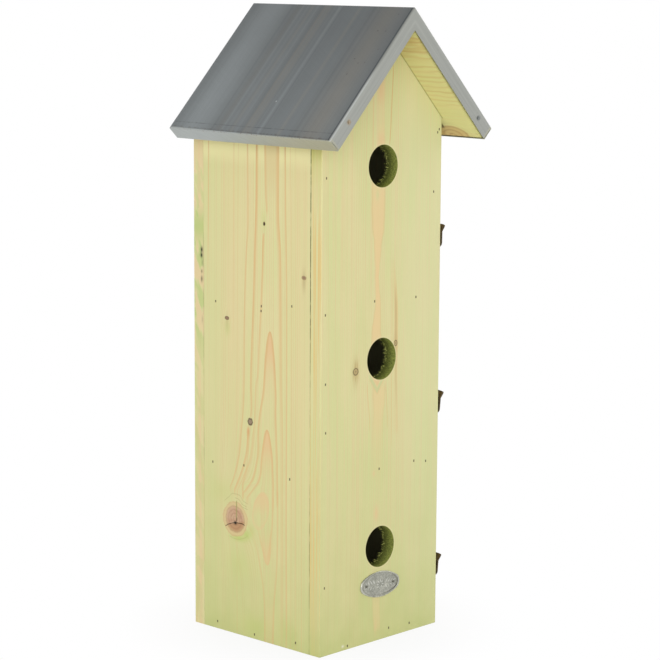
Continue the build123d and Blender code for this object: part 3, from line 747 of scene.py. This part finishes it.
def plain_board(name, axes, seed, ring=2.8, pith=9.0, slant=0.02, centre=0.0):
    """A board without large knots. axes(shade) gives (across, along, depth) in millimetres."""
    shade = Shade(name, roughness=0.64, specular=0.25)
    shade.place = axes(shade)
    across, along, depth = shade.place
    drift = (shade.noise((80.0, 200.0, 80.0), detail=0.0, seed=seed) - 0.5) * 16.0
    right = (across + drift - centre) / ring
    under = pith + along * slant + depth / (2 * ring)
    radius = shade.length(right, under)
    pine_surface(shade, radius, seed=seed, line_share=0.4, green_share=0.5)
    return shade


def side_axes(shade):
    return (shade.y, shade.z, half_width - shade.x)


def back_axes(shade):
    return (shade.x, shade.z, -front_face - shade.y)


def shelf_axes(shade):
    return (shade.x, shade.y, shade.z)


def slope_place(shade, out):
    """The way down a roof slope and the depth below its outer surface; out is the way out from the ridge."""
    drop = ridge_height - shade.z
    down = out * math.cos(roof_pitch) + drop * math.sin(roof_pitch)
    depth = drop * math.cos(roof_pitch) - out * math.sin(roof_pitch)
    return (down, depth)


def right_roof_axes(shade):
    down, depth = slope_place(shade, shade.x)
    return (down, shade.y, depth)


def left_roof_axes(shade):
    down, depth = slope_place(shade, shade.x * -1.0)
    return (down, shade.y, depth)


def back_material():
    """The back panel; its left edge shows beside the left panel: peach and green, with insect holes."""
    shade = plain_board("pine_back", back_axes, seed=131.0, centre=8.0, pith=7.0, slant=0.012)
    dark_joint(shade, edge_joint(shade, -front_inner), seed=191.0, amounts=REAR_JOINT)
    on_edge = left_edge(shade)
    wave_place = shade.z + shade.y * -1.4
    wave = shade.noise((9.0, 16.0, 9.0), place=(shade.y, wave_place, shade.x), seed=139.0)
    waves = wave.step(0.42, 0.56) * shade.z.curve([(0, 0.0), (190, 0.0), (225, 0.6), (300, 0.8), (403, 0.5)])
    column = shade.y.bell(62.6, 2.4) * shade.z.curve(
        [(0, 0.8), (150, 0.75), (215, 0.4), (260, 0.2), (328, 0.1), (338, 0.9), (403, 0.85)]
    )
    warm = on_edge * shade.math("MAXIMUM", waves, column)
    shade.coat(warm, tone(228, 204, 158))
    green = on_edge * wave.step(0.52, 0.38) * shade.z.curve(
        [(0, 0.25), (210, 0.3), (250, 0.7), (296, 0.7), (320, 0.95), (334, 0.6), (345, 0.3), (403, 0.3)]
    )
    green = shade.math("MAXIMUM", green, on_edge * shade.z.bell(319.0, 12.0) * 0.8)
    shade.coat(green, tone(184, 202, 126))
    # Painted shade: each insect hole is a black spot without depth
    for centre_point, size, share in EDGE_HOLES:
        hole_shade = shade.y.bell(centre_point[0], size[0]) * shade.z.bell(centre_point[1], size[1])
        shade.coat(on_edge * hole_shade * share, BLACK)
    # Painted shade on the back panel's inner face between the side boards
    paint_inside_shade(shade, inner_face(shade.place[2]) * between_sides(shade))
    return shade.paint()


# Insect holes in the back panel's left edge, painted black as the shade inside them: (centre, size, share)
EDGE_HOLES = [
    ((60, 301), (1.3, 2.2), 1), ((60.2, 296.6), (1.3, 2), 1), ((60, 284), (0.9, 1.4), 0.6),
    ((60, 278), (1, 2.4), 0.75), ((59.4, 291), (0.7, 3), 0.4), ((59.6, 246), (0.7, 3), 0.25)
]

# Roof boards: how strong the open rings of the underside are, by the way down the slope
UNDERSIDE_RING = 5.2
UNDERSIDE_LINES = [
    (0, 0.55), (14, 0.6), (48, 0.6), (60, 0.42), (78, 0.4), (84, 0.75), (91, 0.6), (97, 0.15), (131, 0.1)
]


def roof_board_material(side):
    """A roof board; the front of its underside shows a warm zone and a swirl of open rings."""
    name, axes = ("pine_roof_right", right_roof_axes) if side > 0 else ("pine_roof_left", left_roof_axes)
    shade = plain_board(name, axes, seed=170.0 + 7 * side, ring=3.4, centre=84.0, pith=2.0)
    down, along, depth = shade.place
    patch = shade.noise((4.0, 40.0, 4.0), seed=172.0).step(0.35, 0.6)
    shade.coat(down.step(14.0, 24.0) * down.step(50.0, 38.0) * patch * 0.6, tone(200, 156, 100))
    sway = (shade.noise((14.0, 26.0, 14.0), seed=173.0) - 0.5) * 7.0
    shade.coat(0.45, tone(222, 220, 142))
    ring = (down + sway + RING_START) / UNDERSIDE_RING
    weight = shade.math("FLOOR", ring).chance(175.0)
    waves = shade.math("FRACT", ring).bell(0.5, 0.2) * weight * down.curve(UNDERSIDE_LINES)
    shade.coat(waves, tone(196, 158, 98))
    right = (down - 127.6 + sway) / 11.0
    up = (along + 69.4) / 18.0
    reach = shade.length(right, up)
    rings = shade.math("FRACT", reach * 3.0).bell(0.5, 0.2)
    shade.coat(reach.step(1.1, 0.7) * 0.6, tone(204, 164, 108))
    shade.coat(rings * reach.step(1.2, 1.0) * 0.45, tone(164, 120, 76))
    under = depth.step(11.0, 11.6)
    gable_gap = abs(along - front_face)
    shade.coat(gable_gap.step(1.4, 0.3) * under * down.step(110.0, 108.5) * 0.45, tone(110, 116, 50))
    # Painted shade on the underside next to the verge band's inner edge
    painted_verge_shade = along.step(roof_low.y + 4.0, roof_low.y + 1.0) * under * 0.5
    shade.coat(painted_verge_shade, tone(150, 152, 72))
    # Painted shade on the roof board's underside inside the box
    inside = under * along.step(front_face + 3.0, front_face + 5.0) * down.step(122.0, 118.0)
    paint_inside_shade(shade, inside)
    return shade.paint()


# Zinc roof sheet: bands from rolling run straight down the slope.
# Bands: (place along the ridge, half width, brightness); brown ones: (place, half width, share)
ZINC_BANDS = [
    (66, 4, 0.94), (58, 0.8, 0.96), (51, 9, 1.23), (38, 9, 1.21), (25, 1.6, 0.9), (19, 4, 0.9),
    (14, 0.9, 1.13), (11, 1, 0.96), (8.5, 0.8, 1.05), (6.2, 0.8, 0.95), (3.5, 1, 1.05), (-1.6, 0.9, 1.1),
    (-6.5, 2.4, 0.88), (-12, 2.6, 1.03), (-18, 1, 0.95), (-21.8, 1, 0.93), (-25, 1.4, 1.2), (-28.4, 1, 0.92),
    (-33, 5, 0.94), (-46, 1.6, 1.09), (-50.5, 1, 0.95), (-57, 2, 0.96), (-60.8, 1.6, 0.87), (-66.5, 1, 0.93),
    (-80, 9, 1.07), (-97, 4, 0.9)
]
ZINC_BROWN = [
    (-9.5, 1.6, 0.5), (-14, 3, 0.4), (-46, 2, 0.35), (-78, 13, 0.6), (18, 3, 0.25), (4, 2, 0.3)
]
# Specks of dirt on the left slope: (centre, size, share)
ZINC_SPECKS = [
    ((-78, 25), (0.7, 0.4), 0.8), ((-86, 25), (0.6, 0.4), 0.7), ((-88, 8), (0.6, 0.4), 0.7),
    ((-73, 53), (0.5, 0.5), 0.8), ((-79, 57), (0.6, 0.4), 0.7), ((-75, 68), (0.4, 0.8), 0.7),
    ((-90, 43), (0.5, 0.4), 0.6), ((-85, 56), (0.5, 0.4), 0.6)
]
# The crease runs above the eave, and the eave's fold bows a little along the ridge
CREASE_FROM_EAVE = 6.5
FOLD_BOW = [(-99, 0.1), (-15, 0.3), (35, 0.7), (71, 1.2)]


def zinc_material():
    shade = Shade("zinc_sheet", metallic=0.85, roughness=0.42)
    down, depth = slope_place(shade, abs(shade.x))
    shade.place = (shade.y, down, depth)
    left = shade.x.step(1.0, -1.0)
    verge_gap = shade.y - roof_low.y
    eave_gap = slope_length - down - shade.y.curve(FOLD_BOW)
    fold_gap = shade.math("MINIMUM", verge_gap - 0.8, eave_gap)
    on_slope = depth.step(1.0, 0.6) * fold_gap.step(-0.3, 0.5)
    spread = shade.y + shade.x.step(-1.0, 1.0) * 37.0
    # Painted reflection: the slope brightens from the ridge towards the eave; rolling bands and grain vary it
    # further below
    brightness = down.step(0.0, 125.0, 0.86, 1.16)
    for centre, half, bright in ZINC_BANDS:
        band = spread.bell(centre, half)
        brightness = brightness * (1.0 + band * (bright - 1.0))
    broad = shade.noise((40.0, 300.0, 60.0), detail=1.0, seed=2.0)
    fine = shade.noise((1.1, 420.0, 40.0), place=(spread, down, depth), detail=4.0, roughness=0.62, seed=4.0)
    cloud = shade.noise((14.0, 20.0, 18.0), detail=4.0, seed=6.0)
    brush = shade.noise((1.8, 30.0, 30.0), place=(spread + down * 1.8, down, depth), detail=3.0, seed=7.0)
    for grain, share in ((broad, 0.08), (fine, 0.34), (cloud, 0.12), (brush, 0.1)):
        brightness = brightness * (1.0 + (grain - 0.5) * share)
    # The slope is painted darker than the folded bands: partly its duller finish, partly painted reflection of
    # the darker sky overhead
    shade.colour = tone(108, 113, 114)
    for centre, half, share in ZINC_BROWN:
        shade.coat(spread.bell(centre, half) * share, tone(116, 113, 105))
    shade.dim(brightness)
    for centre_point, size, share in ZINC_SPECKS:
        shade.coat(shade.spot(centre_point, size) * left * share, tone(66, 62, 56))
    shade.coat(shade.spot((-22.6, 98.0), (0.5, 0.6)) * left * 0.5, tone(226, 228, 224))
    # Painted shade: a broken dark line along the crease above the eave
    crease_gap = abs(down - (slope_length - CREASE_FROM_EAVE))
    broken = shade.noise(3.0, detail=3.0, seed=8.0)
    crease = crease_gap.step(0.6, 0.15) * broken.step(0.4, 0.6, 0.25, 0.9) * 0.5
    shade.coat(crease, tone(66, 70, 72))
    shade.coat(eave_gap.bell(1.0, 0.6) * broken.step(0.46, 0.6) * 0.4, tone(92, 80, 64))
    # Painted shade: a dark line on the slope beside the verge fold
    shade.coat(verge_gap.bell(2.0, 0.5) * 0.8, tone(52, 56, 58))
    slope = shade.colour
    on_eave = (slope_length - down).step(2.6, 2.2)
    diagonal = shade.y + depth * 1.3
    eave_brush = shade.noise(
        (1.6, 9.0, 30.0), place=(diagonal, depth, down), detail=4.0, roughness=0.65, seed=12.0
    )
    verge_brush = shade.noise(
        (60.0, 1.1, 6.0), place=(down, depth, shade.y), detail=3.0, roughness=0.6, seed=13.0
    )
    eave_tone = shade.mix(shade.y.step(10.0, -80.0), tone(170, 175, 173), tone(178, 178, 162))
    verge_tone = tone(166, 168, 162)
    shade.colour = shade.mix(
        on_eave, shade.lighten(verge_tone, 1.0 + (verge_brush - 0.5) * 0.42),
        shade.lighten(eave_tone, 1.0 + (eave_brush - 0.5) * 0.34)
    )
    speckle = shade.noise(
        (1.3, 1.3, 1.3), place=(shade.x, shade.y, shade.z), detail=3.0, roughness=0.7, seed=14.0
    )
    shade.coat(speckle.step(0.67, 0.75) * 0.6, tone(96, 100, 98))
    rust = depth.bell(0.8, 0.8) * (slope_length - down).step(2.6, 1.0) * speckle.step(0.54, 0.64) * 0.7
    shade.coat(rust, tone(112, 82, 58))
    # Painted highlight along the left verge fold, towards the eave
    painted_fold_highlight = depth.bell(0.7, 0.6) * verge_gap.step(2.2, 1.4) * left * down.step(55.0, 80.0) * 0.7
    shade.coat(painted_fold_highlight, tone(216, 220, 218))
    # The darker slope colour, partly painted reflection, covers the slopes
    shade.coat(on_slope, slope)
    verge_nail_rings(shade, down, depth, verge_gap)
    roughness = on_slope * 0.08 + 0.38 + (fine - 0.5) * 0.15
    wave = shade.noise((45.0, 60.0, 45.0), detail=1.0, seed=16.0)
    relief = wave * 4.0 + fine * 0.25 + crease * -0.8 + eave_brush * 0.3
    shade.bump(relief, 0.06)
    return shade.paint(roughness)


def verge_nail_rings(shade, down, depth, verge_gap):
    """Rust round the left verge nail and a dull ring round the right one."""
    front = verge_gap.step(1.2, 0.8)
    for side, ink, share in ((-1, tone(170, 150, 120), 0.6), (1, tone(120, 124, 122), 0.5)):
        same_side = (shade.x * side).step(0.0, 1.0)
        reach = shade.length(down - VERGE_NAILS[side], depth - ROOF_BUILD / 2)
        shade.coat(reach.bell(1.6, 0.7) * front * same_side * share, ink)


def bronze_material():
    shade = Shade("dark_bronze", metallic=0.75, roughness=0.45)
    patina = shade.noise(2.2, detail=4.0, roughness=0.6, seed=20.0)
    scratch = shade.noise((0.4, 0.4, 5.0), detail=3.0, seed=21.0)
    shade.colour = shade.mix(patina.step(0.35, 0.65), tone(66, 54, 32), tone(104, 86, 54))
    shade.coat(scratch.step(0.6, 0.72) * 0.35, tone(150, 126, 84))
    shade.bump(patina + scratch * 0.4, 0.03)
    return shade.paint(patina.step(0.3, 0.7, 0.38, 0.58))


def nail_material(name, dull, rusty, on_right=None):
    shade = Shade(name, metallic=0.6, roughness=0.5)
    rust = shade.noise(0.8, detail=3.0, seed=24.0)
    shade.colour = shade.mix(rust.step(0.42, 0.6), dull, rusty)
    if on_right:
        shade.coat(shade.x.step(-1.0, 1.0), on_right)
    shade.bump(rust, 0.03)
    return shade.paint()


def plate_material():
    shade = Shade("pressed_plate", metallic=0.9, roughness=0.36)
    grain = shade.noise(0.9, detail=4.0, roughness=0.65, seed=26.0)
    stain = shade.noise(4.0, seed=27.0)
    out = (shade.y - plate_low.y) / 0.6
    right = shade.x - plate_centre.x
    up = shade.z - plate_centre.z
    across = right * math.cos(PLATE_TILT) + up * math.sin(PLATE_TILT)
    along = up * math.cos(PLATE_TILT) - right * math.sin(PLATE_TILT)
    across = across / ((plate_high.x - plate_low.x) / 2)
    along = along / ((plate_high.z - plate_low.z) / 2)
    reach = shade.length(across, along)
    shade.colour = shade.mix(stain.step(0.35, 0.65), tone(174, 175, 164), tone(196, 196, 184))
    shade.dim(grain.step(0.3, 0.7, 0.66, 1.14))
    low_field = out.step(0.25, 0.7) * reach.step(0.96, 0.88) * 0.25
    shade.coat(low_field, tone(112, 112, 100))
    inner_line = reach.bell(0.885, 0.03) * 0.55
    shade.coat(inner_line, tone(96, 94, 80))
    # Painted highlight on the raised relief inside the rim, stronger on the upper half
    painted_relief_highlight = out.step(0.55, 0.15) * reach.step(0.86, 0.8)
    shade.coat(painted_relief_highlight * along.step(-0.4, 0.3, 0.12, 0.45), tone(236, 236, 228))
    shade.bump(grain, 0.1)
    return shade.paint(grain.step(0.3, 0.7, 0.5, 0.3))


def fibre_material():
    shade = Shade("torn_fibres", roughness=0.85, specular=0.15)
    shadow = shade.noise(1.2, detail=3.0, seed=30.0)
    shade.colour = shade.mix(shadow.step(0.38, 0.62), tone(80, 84, 38), tone(172, 176, 98))
    shade.bump(shadow, 0.05)
    return shade.paint()


# Rounding of the boards' edges, and the angle from which an edge counts as sharp
WORN_EDGE = 0.35
SHARP_ANGLE = math.radians(35)


def dress(node, material):
    """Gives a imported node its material."""
    target = frame["nodes"][node]
    target.data.materials.clear()
    target.data.materials.append(material)


def soften(node):
    """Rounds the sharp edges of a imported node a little, without touching its mesh."""
    target = frame["nodes"][node]
    weld = target.modifiers.new("join_corners", "WELD")
    weld.merge_threshold = 1e-6
    bevel = target.modifiers.new("worn_edges", "BEVEL")
    bevel.width = WORN_EDGE * MM
    bevel.segments = 2
    bevel.limit_method = "ANGLE"
    bevel.angle_limit = SHARP_ANGLE
    bevel.use_clamp_overlap = False
    bevel.harden_normals = True
    bevel.loop_slide = False


def new_piece(name, mesh_maker, material, body):
    """A mesh object made by mesh_maker(bm), in millimetres, riding on a body."""
    bm = bmesh.new()
    mesh_maker(bm)
    bmesh.ops.recalc_face_normals(bm, faces=bm.faces)
    bmesh.ops.scale(bm, vec=(MM, MM, MM), verts=bm.verts)
    mesh = bpy.data.meshes.new(name)
    bm.to_mesh(mesh)
    bm.free()
    for polygon in mesh.polygons:
        polygon.use_smooth = False
    mesh.materials.append(material)
    piece = bpy.data.objects.new(name, mesh)
    bpy.context.scene.collection.objects.link(piece)
    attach(piece, body)
    return piece


# Torn fibres at the inner rim of the entrances
FIBRE_COUNT = 170
FIBRE_LENGTHS = (0.6, 3.4)
FIBRE_WIDTHS = (0.4, 1.4)


def make_fibres(bm):
    dice = random.Random(7)
    for height in entrance_heights:
        for _ in range(FIBRE_COUNT):
            turn = dice.uniform(0, 2 * math.pi)
            out = Vector((math.cos(turn), 0, math.sin(turn)))
            round_way = Vector((-math.sin(turn), 0, math.cos(turn)))
            root = Vector((0, front_inner - dice.uniform(0.2, 2.2), height)) + out * (entrance_radius + 0.1)
            width = dice.uniform(*FIBRE_WIDTHS)
            length = dice.uniform(*FIBRE_LENGTHS)
            lift = dice.uniform(0.15, 0.75)
            way = (Vector((0, 1, 0)) - out * lift + round_way * dice.uniform(-0.5, 0.5)).normalized()
            corners = [root - round_way * width / 2, root + round_way * width / 2, root - out * 0.35 * width]
            base = [bm.verts.new(corner) for corner in corners]
            tip = bm.verts.new(root + way * length)
            bm.faces.new(base)
            for first in range(3):
                bm.faces.new((base[first], base[(first + 1) % 3], tip))


# Relief of the oval plate: a plain sprig with leaves on both sides of a small flower
plate_low, plate_high = extent("badge_plate")
plate_centre = (plate_low + plate_high) / 2
PLATE_TILT = math.radians(-3.3)
PLATE_FIELD = 0.45
LEAF_HEIGHT = 0.42
LEAF_STEPS = 6
PETALS = 8
LEAVES_PER_SIDE = 4
LEAF_LEAN = math.radians(50)


def plate_point(right, up, out):
    """A point on the plate's field; out is measured from the field towards the viewer."""
    x = plate_centre.x + right * math.cos(PLATE_TILT) - up * math.sin(PLATE_TILT)
    z = plate_centre.z + right * math.sin(PLATE_TILT) + up * math.cos(PLATE_TILT)
    return Vector((x, plate_low.y + PLATE_FIELD - out, z))


def add_leaf(bm, right, up, turn, length, width):
    """A pointed leaf with a raised midrib."""

    def place(forward, sideways, out):
        return plate_point(right + forward * math.cos(turn) - sideways * math.sin(turn),
                           up + forward * math.sin(turn) + sideways * math.cos(turn), out)

    shares = [number / LEAF_STEPS for number in range(LEAF_STEPS + 1)]
    heights = [0.02 + LEAF_HEIGHT * math.sin(math.pi * share) ** 0.5 for share in shares]
    rib = [bm.verts.new(place(share * length, 0, height)) for share, height in zip(shares, heights)]
    bottom = [bm.verts.new(place(share * length, 0, -0.05)) for share in shares]
    for side in (-1, 1):
        halves = [side * width / 2 * math.sin(math.pi * share) ** 0.8 for share in shares]
        inner = zip(shares[1:-1], halves[1:-1])
        rim = [bm.verts.new(place(share * length, half, 0.0)) for share, half in inner]
        for top in (rib, bottom):
            edge = [top[0], *rim, top[-1]]
            for number in range(LEAF_STEPS):
                corners = [top[number], edge[number], edge[number + 1], top[number + 1]]
                bm.faces.new(list(dict.fromkeys(corners)))


def make_relief(bm):
    for number in range(PETALS):
        turn = 2 * math.pi * number / PETALS
        add_leaf(bm, math.cos(turn), math.sin(turn), turn, 3.6, 2.3)
    for side in (-1, 1):
        for number in range(LEAVES_PER_SIDE):
            reach = side * (5.6 + 3.1 * number)
            for up_side in (-1, 1):
                lean = up_side * LEAF_LEAN
                turn = math.atan2(math.sin(lean), side * math.cos(lean))
                add_leaf(bm, reach, up_side * 0.4, turn, 5.4 - 0.75 * number, 2.5 - 0.25 * number)


# Floor, light and camera, in metres. Lamps: (name, azimuth, elevation, distance, size, power)
WHITE = (1.0, 1.0, 1.0, 1.0)
FLOOR_GREY = (0.80, 0.80, 0.80, 1.0)
FLOOR_REACH = 30.0
FLOOR_HEIGHT = -0.0002
LAMP_TARGET = Vector((0, 0, 0.24))
LAMPS = [
    ("key", -49.0, 8.0, 2.6, 1.8, 33.0), ("fill_right", 75.0, 30.0, 2.8, 1.6, 10.5),
    ("fill_back", 165.0, 35.0, 2.8, 1.6, 12.0)
]


def make_floor():
    """A pale floor that keeps the contact shadow; away from the object the camera sees it as plain white."""
    bm = bmesh.new()
    bmesh.ops.create_grid(bm, x_segments=1, y_segments=1, size=FLOOR_REACH)
    mesh = bpy.data.meshes.new("floor")
    bm.to_mesh(mesh)
    bm.free()
    material = bpy.data.materials.new("floor")
    nodes = Nodes(material)
    rays = nodes.add("ShaderNodeLightPath").outputs
    seen = nodes.math("MAXIMUM", rays["Is Camera Ray"], rays["Is Glossy Ray"])
    seen = nodes.math("MAXIMUM", seen, rays["Is Transmission Ray"])
    place = nodes.add("ShaderNodeTexCoord").outputs["Object"]
    distance = Value(nodes, nodes.add("ShaderNodeVectorMath", {0: place}, operation="LENGTH").outputs["Value"])
    diffuse = nodes.add("ShaderNodeBsdfDiffuse", {"Color": FLOOR_GREY})
    white = nodes.add("ShaderNodeEmission", {"Color": WHITE, "Strength": 1.0})
    surface = nodes.mix_shaders(seen * distance.step(0.06, 0.17, 0.88, 1.0), diffuse, white)
    nodes.add("ShaderNodeOutputMaterial", {"Surface": surface})
    mesh.materials.append(material)
    floor = bpy.data.objects.new("floor", mesh)
    bpy.context.scene.collection.objects.link(floor)
    floor.location.z = FLOOR_HEIGHT


def make_world():
    """White towards the horizon, a little darker overhead, and plain white for the camera."""
    world = bpy.data.worlds.new("studio")
    bpy.context.scene.world = world
    nodes = Nodes(world)
    place = nodes.add("ShaderNodeTexCoord").outputs["Generated"]
    height = Value(nodes, nodes.add("ShaderNodeSeparateXYZ", {0: place}).outputs["Z"])
    soft = nodes.add("ShaderNodeBackground", {"Color": WHITE, "Strength": height.step(0.25, 0.75, 0.86, 0.56)})
    white = nodes.add("ShaderNodeBackground", {"Color": WHITE})
    seen = nodes.add("ShaderNodeLightPath").outputs["Is Camera Ray"]
    nodes.add("ShaderNodeOutputWorld", {"Surface": nodes.mix_shaders(seen, soft, white)})


def make_lamp(name, azimuth, elevation, distance, size, power):
    """A square soft box that looks at the middle of the object."""
    turn = math.radians(azimuth)
    rise = math.radians(elevation)
    way = Vector((math.sin(turn) * math.cos(rise), -math.cos(turn) * math.cos(rise), math.sin(rise)))
    light = bpy.data.lights.new(name, "AREA")
    light.size = size
    light.energy = power
    lamp = bpy.data.objects.new(name, light)
    lamp.location = LAMP_TARGET + way * distance
    lamp.rotation_euler = (-way).to_track_quat("-Z", "Y").to_euler()
    bpy.context.scene.collection.objects.link(lamp)


def make_camera():
    data = bpy.data.cameras.new("camera")
    data.sensor_width = SENSOR_WIDTH
    data.lens = CAMERA_LENS
    data.clip_end = 100.0
    camera = bpy.data.objects.new("camera", data)
    turn = Matrix.Rotation(math.radians(CAMERA_AZIMUTH), 4, "Z")
    tip = Matrix.Rotation(math.radians(90 - CAMERA_ELEVATION), 4, "X")
    roll = Matrix.Rotation(math.radians(CAMERA_ROLL), 4, "Z")
    camera.matrix_world = Matrix.Translation(CAMERA_PLACE) @ turn @ tip @ roll
    bpy.context.scene.collection.objects.link(camera)
    bpy.context.scene.camera = camera


def make_stage():
    make_floor()
    make_world()
    for lamp in LAMPS:
        make_lamp(*lamp)
    make_camera()
    bpy.context.scene.view_settings.view_transform = "Standard"


# Boards of the door side, each with the seed of its grain, and the other boards
DOOR_SIDE_SEEDS = {"right_rail": 201.0, "door_lower": 219.0, "door_middle": 237.0, "door_upper": 251.0}
SHELVES = ("floor_board", "lower_shelf", "upper_shelf")
OTHER_BOARDS = ("front_panel", "left_side_panel", "back_panel", "roof_board_left", "roof_board_right")


def dress_boards():
    dress("front_panel", front_material())
    dress("left_side_panel", side_material())
    dress("back_panel", back_material())
    dress("roof_board_left", roof_board_material(-1))
    dress("roof_board_right", roof_board_material(1))
    for node, seed in DOOR_SIDE_SEEDS.items():
        centre = (seed % 7 - 3) * 9.0
        shade = plain_board(f"pine_{node}", side_axes, seed=seed, centre=centre, slant=0.015)
        # Painted shade on the inner faces of the door side boards
        paint_inside_shade(shade, inner_face(shade.place[2]), 0.27)
        dress(node, shade.paint())
    for number, node in enumerate(SHELVES):
        shade = plain_board(f"pine_{node}", shelf_axes, seed=301.0 + 13 * number, centre=10.0 * number)
        # Painted shade on the shelves inside the box, away from their ends
        off_rim = abs(shade.x).step(half_width - 10.0, half_width - 14.0)
        paint_inside_shade(shade, off_rim * shade.z.step(0.4, 0.8))
        dress(node, shade.paint())
    for node in (*OTHER_BOARDS, *DOOR_SIDE_SEEDS, *SHELVES):
        soften(node)


def dress_metal():
    bronze = bronze_material()
    steel = nail_material("nail_steel", tone(84, 84, 66), tone(98, 84, 56))
    rusty = nail_material("rusty_steel", tone(172, 162, 142), tone(164, 142, 112), tone(132, 136, 134))
    plate = plate_material()
    dress("roof_sheet", zinc_material())
    dress("badge_plate", plate)
    dress("verge_nails", rusty)
    dress("badge_pins", nail_material("pin_steel", tone(120, 120, 108), tone(92, 90, 76)))
    for node in ("front_brads", "left_brads", "back_brads", "roof_brads"):
        dress(node, steel)
    for row in ROWS:
        dress(f"latch_{row}", bronze)
        dress(f"{row}_door_hinge_screws", bronze)
        for end in ENDS:
            for piece in ("frame_leaf", "door_leaf", "hinge_pin"):
                dress(f"{row}_{end}_{piece}", bronze)
    for node in ("latch_spacers", "latch_screws", "frame_hinge_screws"):
        dress(node, bronze)
    fibres = new_piece("torn_fibres", make_fibres, fibre_material(), "box")
    relief = new_piece("plate_relief", make_relief, plate, "box")


make_stage()
dress_boards()
dress_metal()
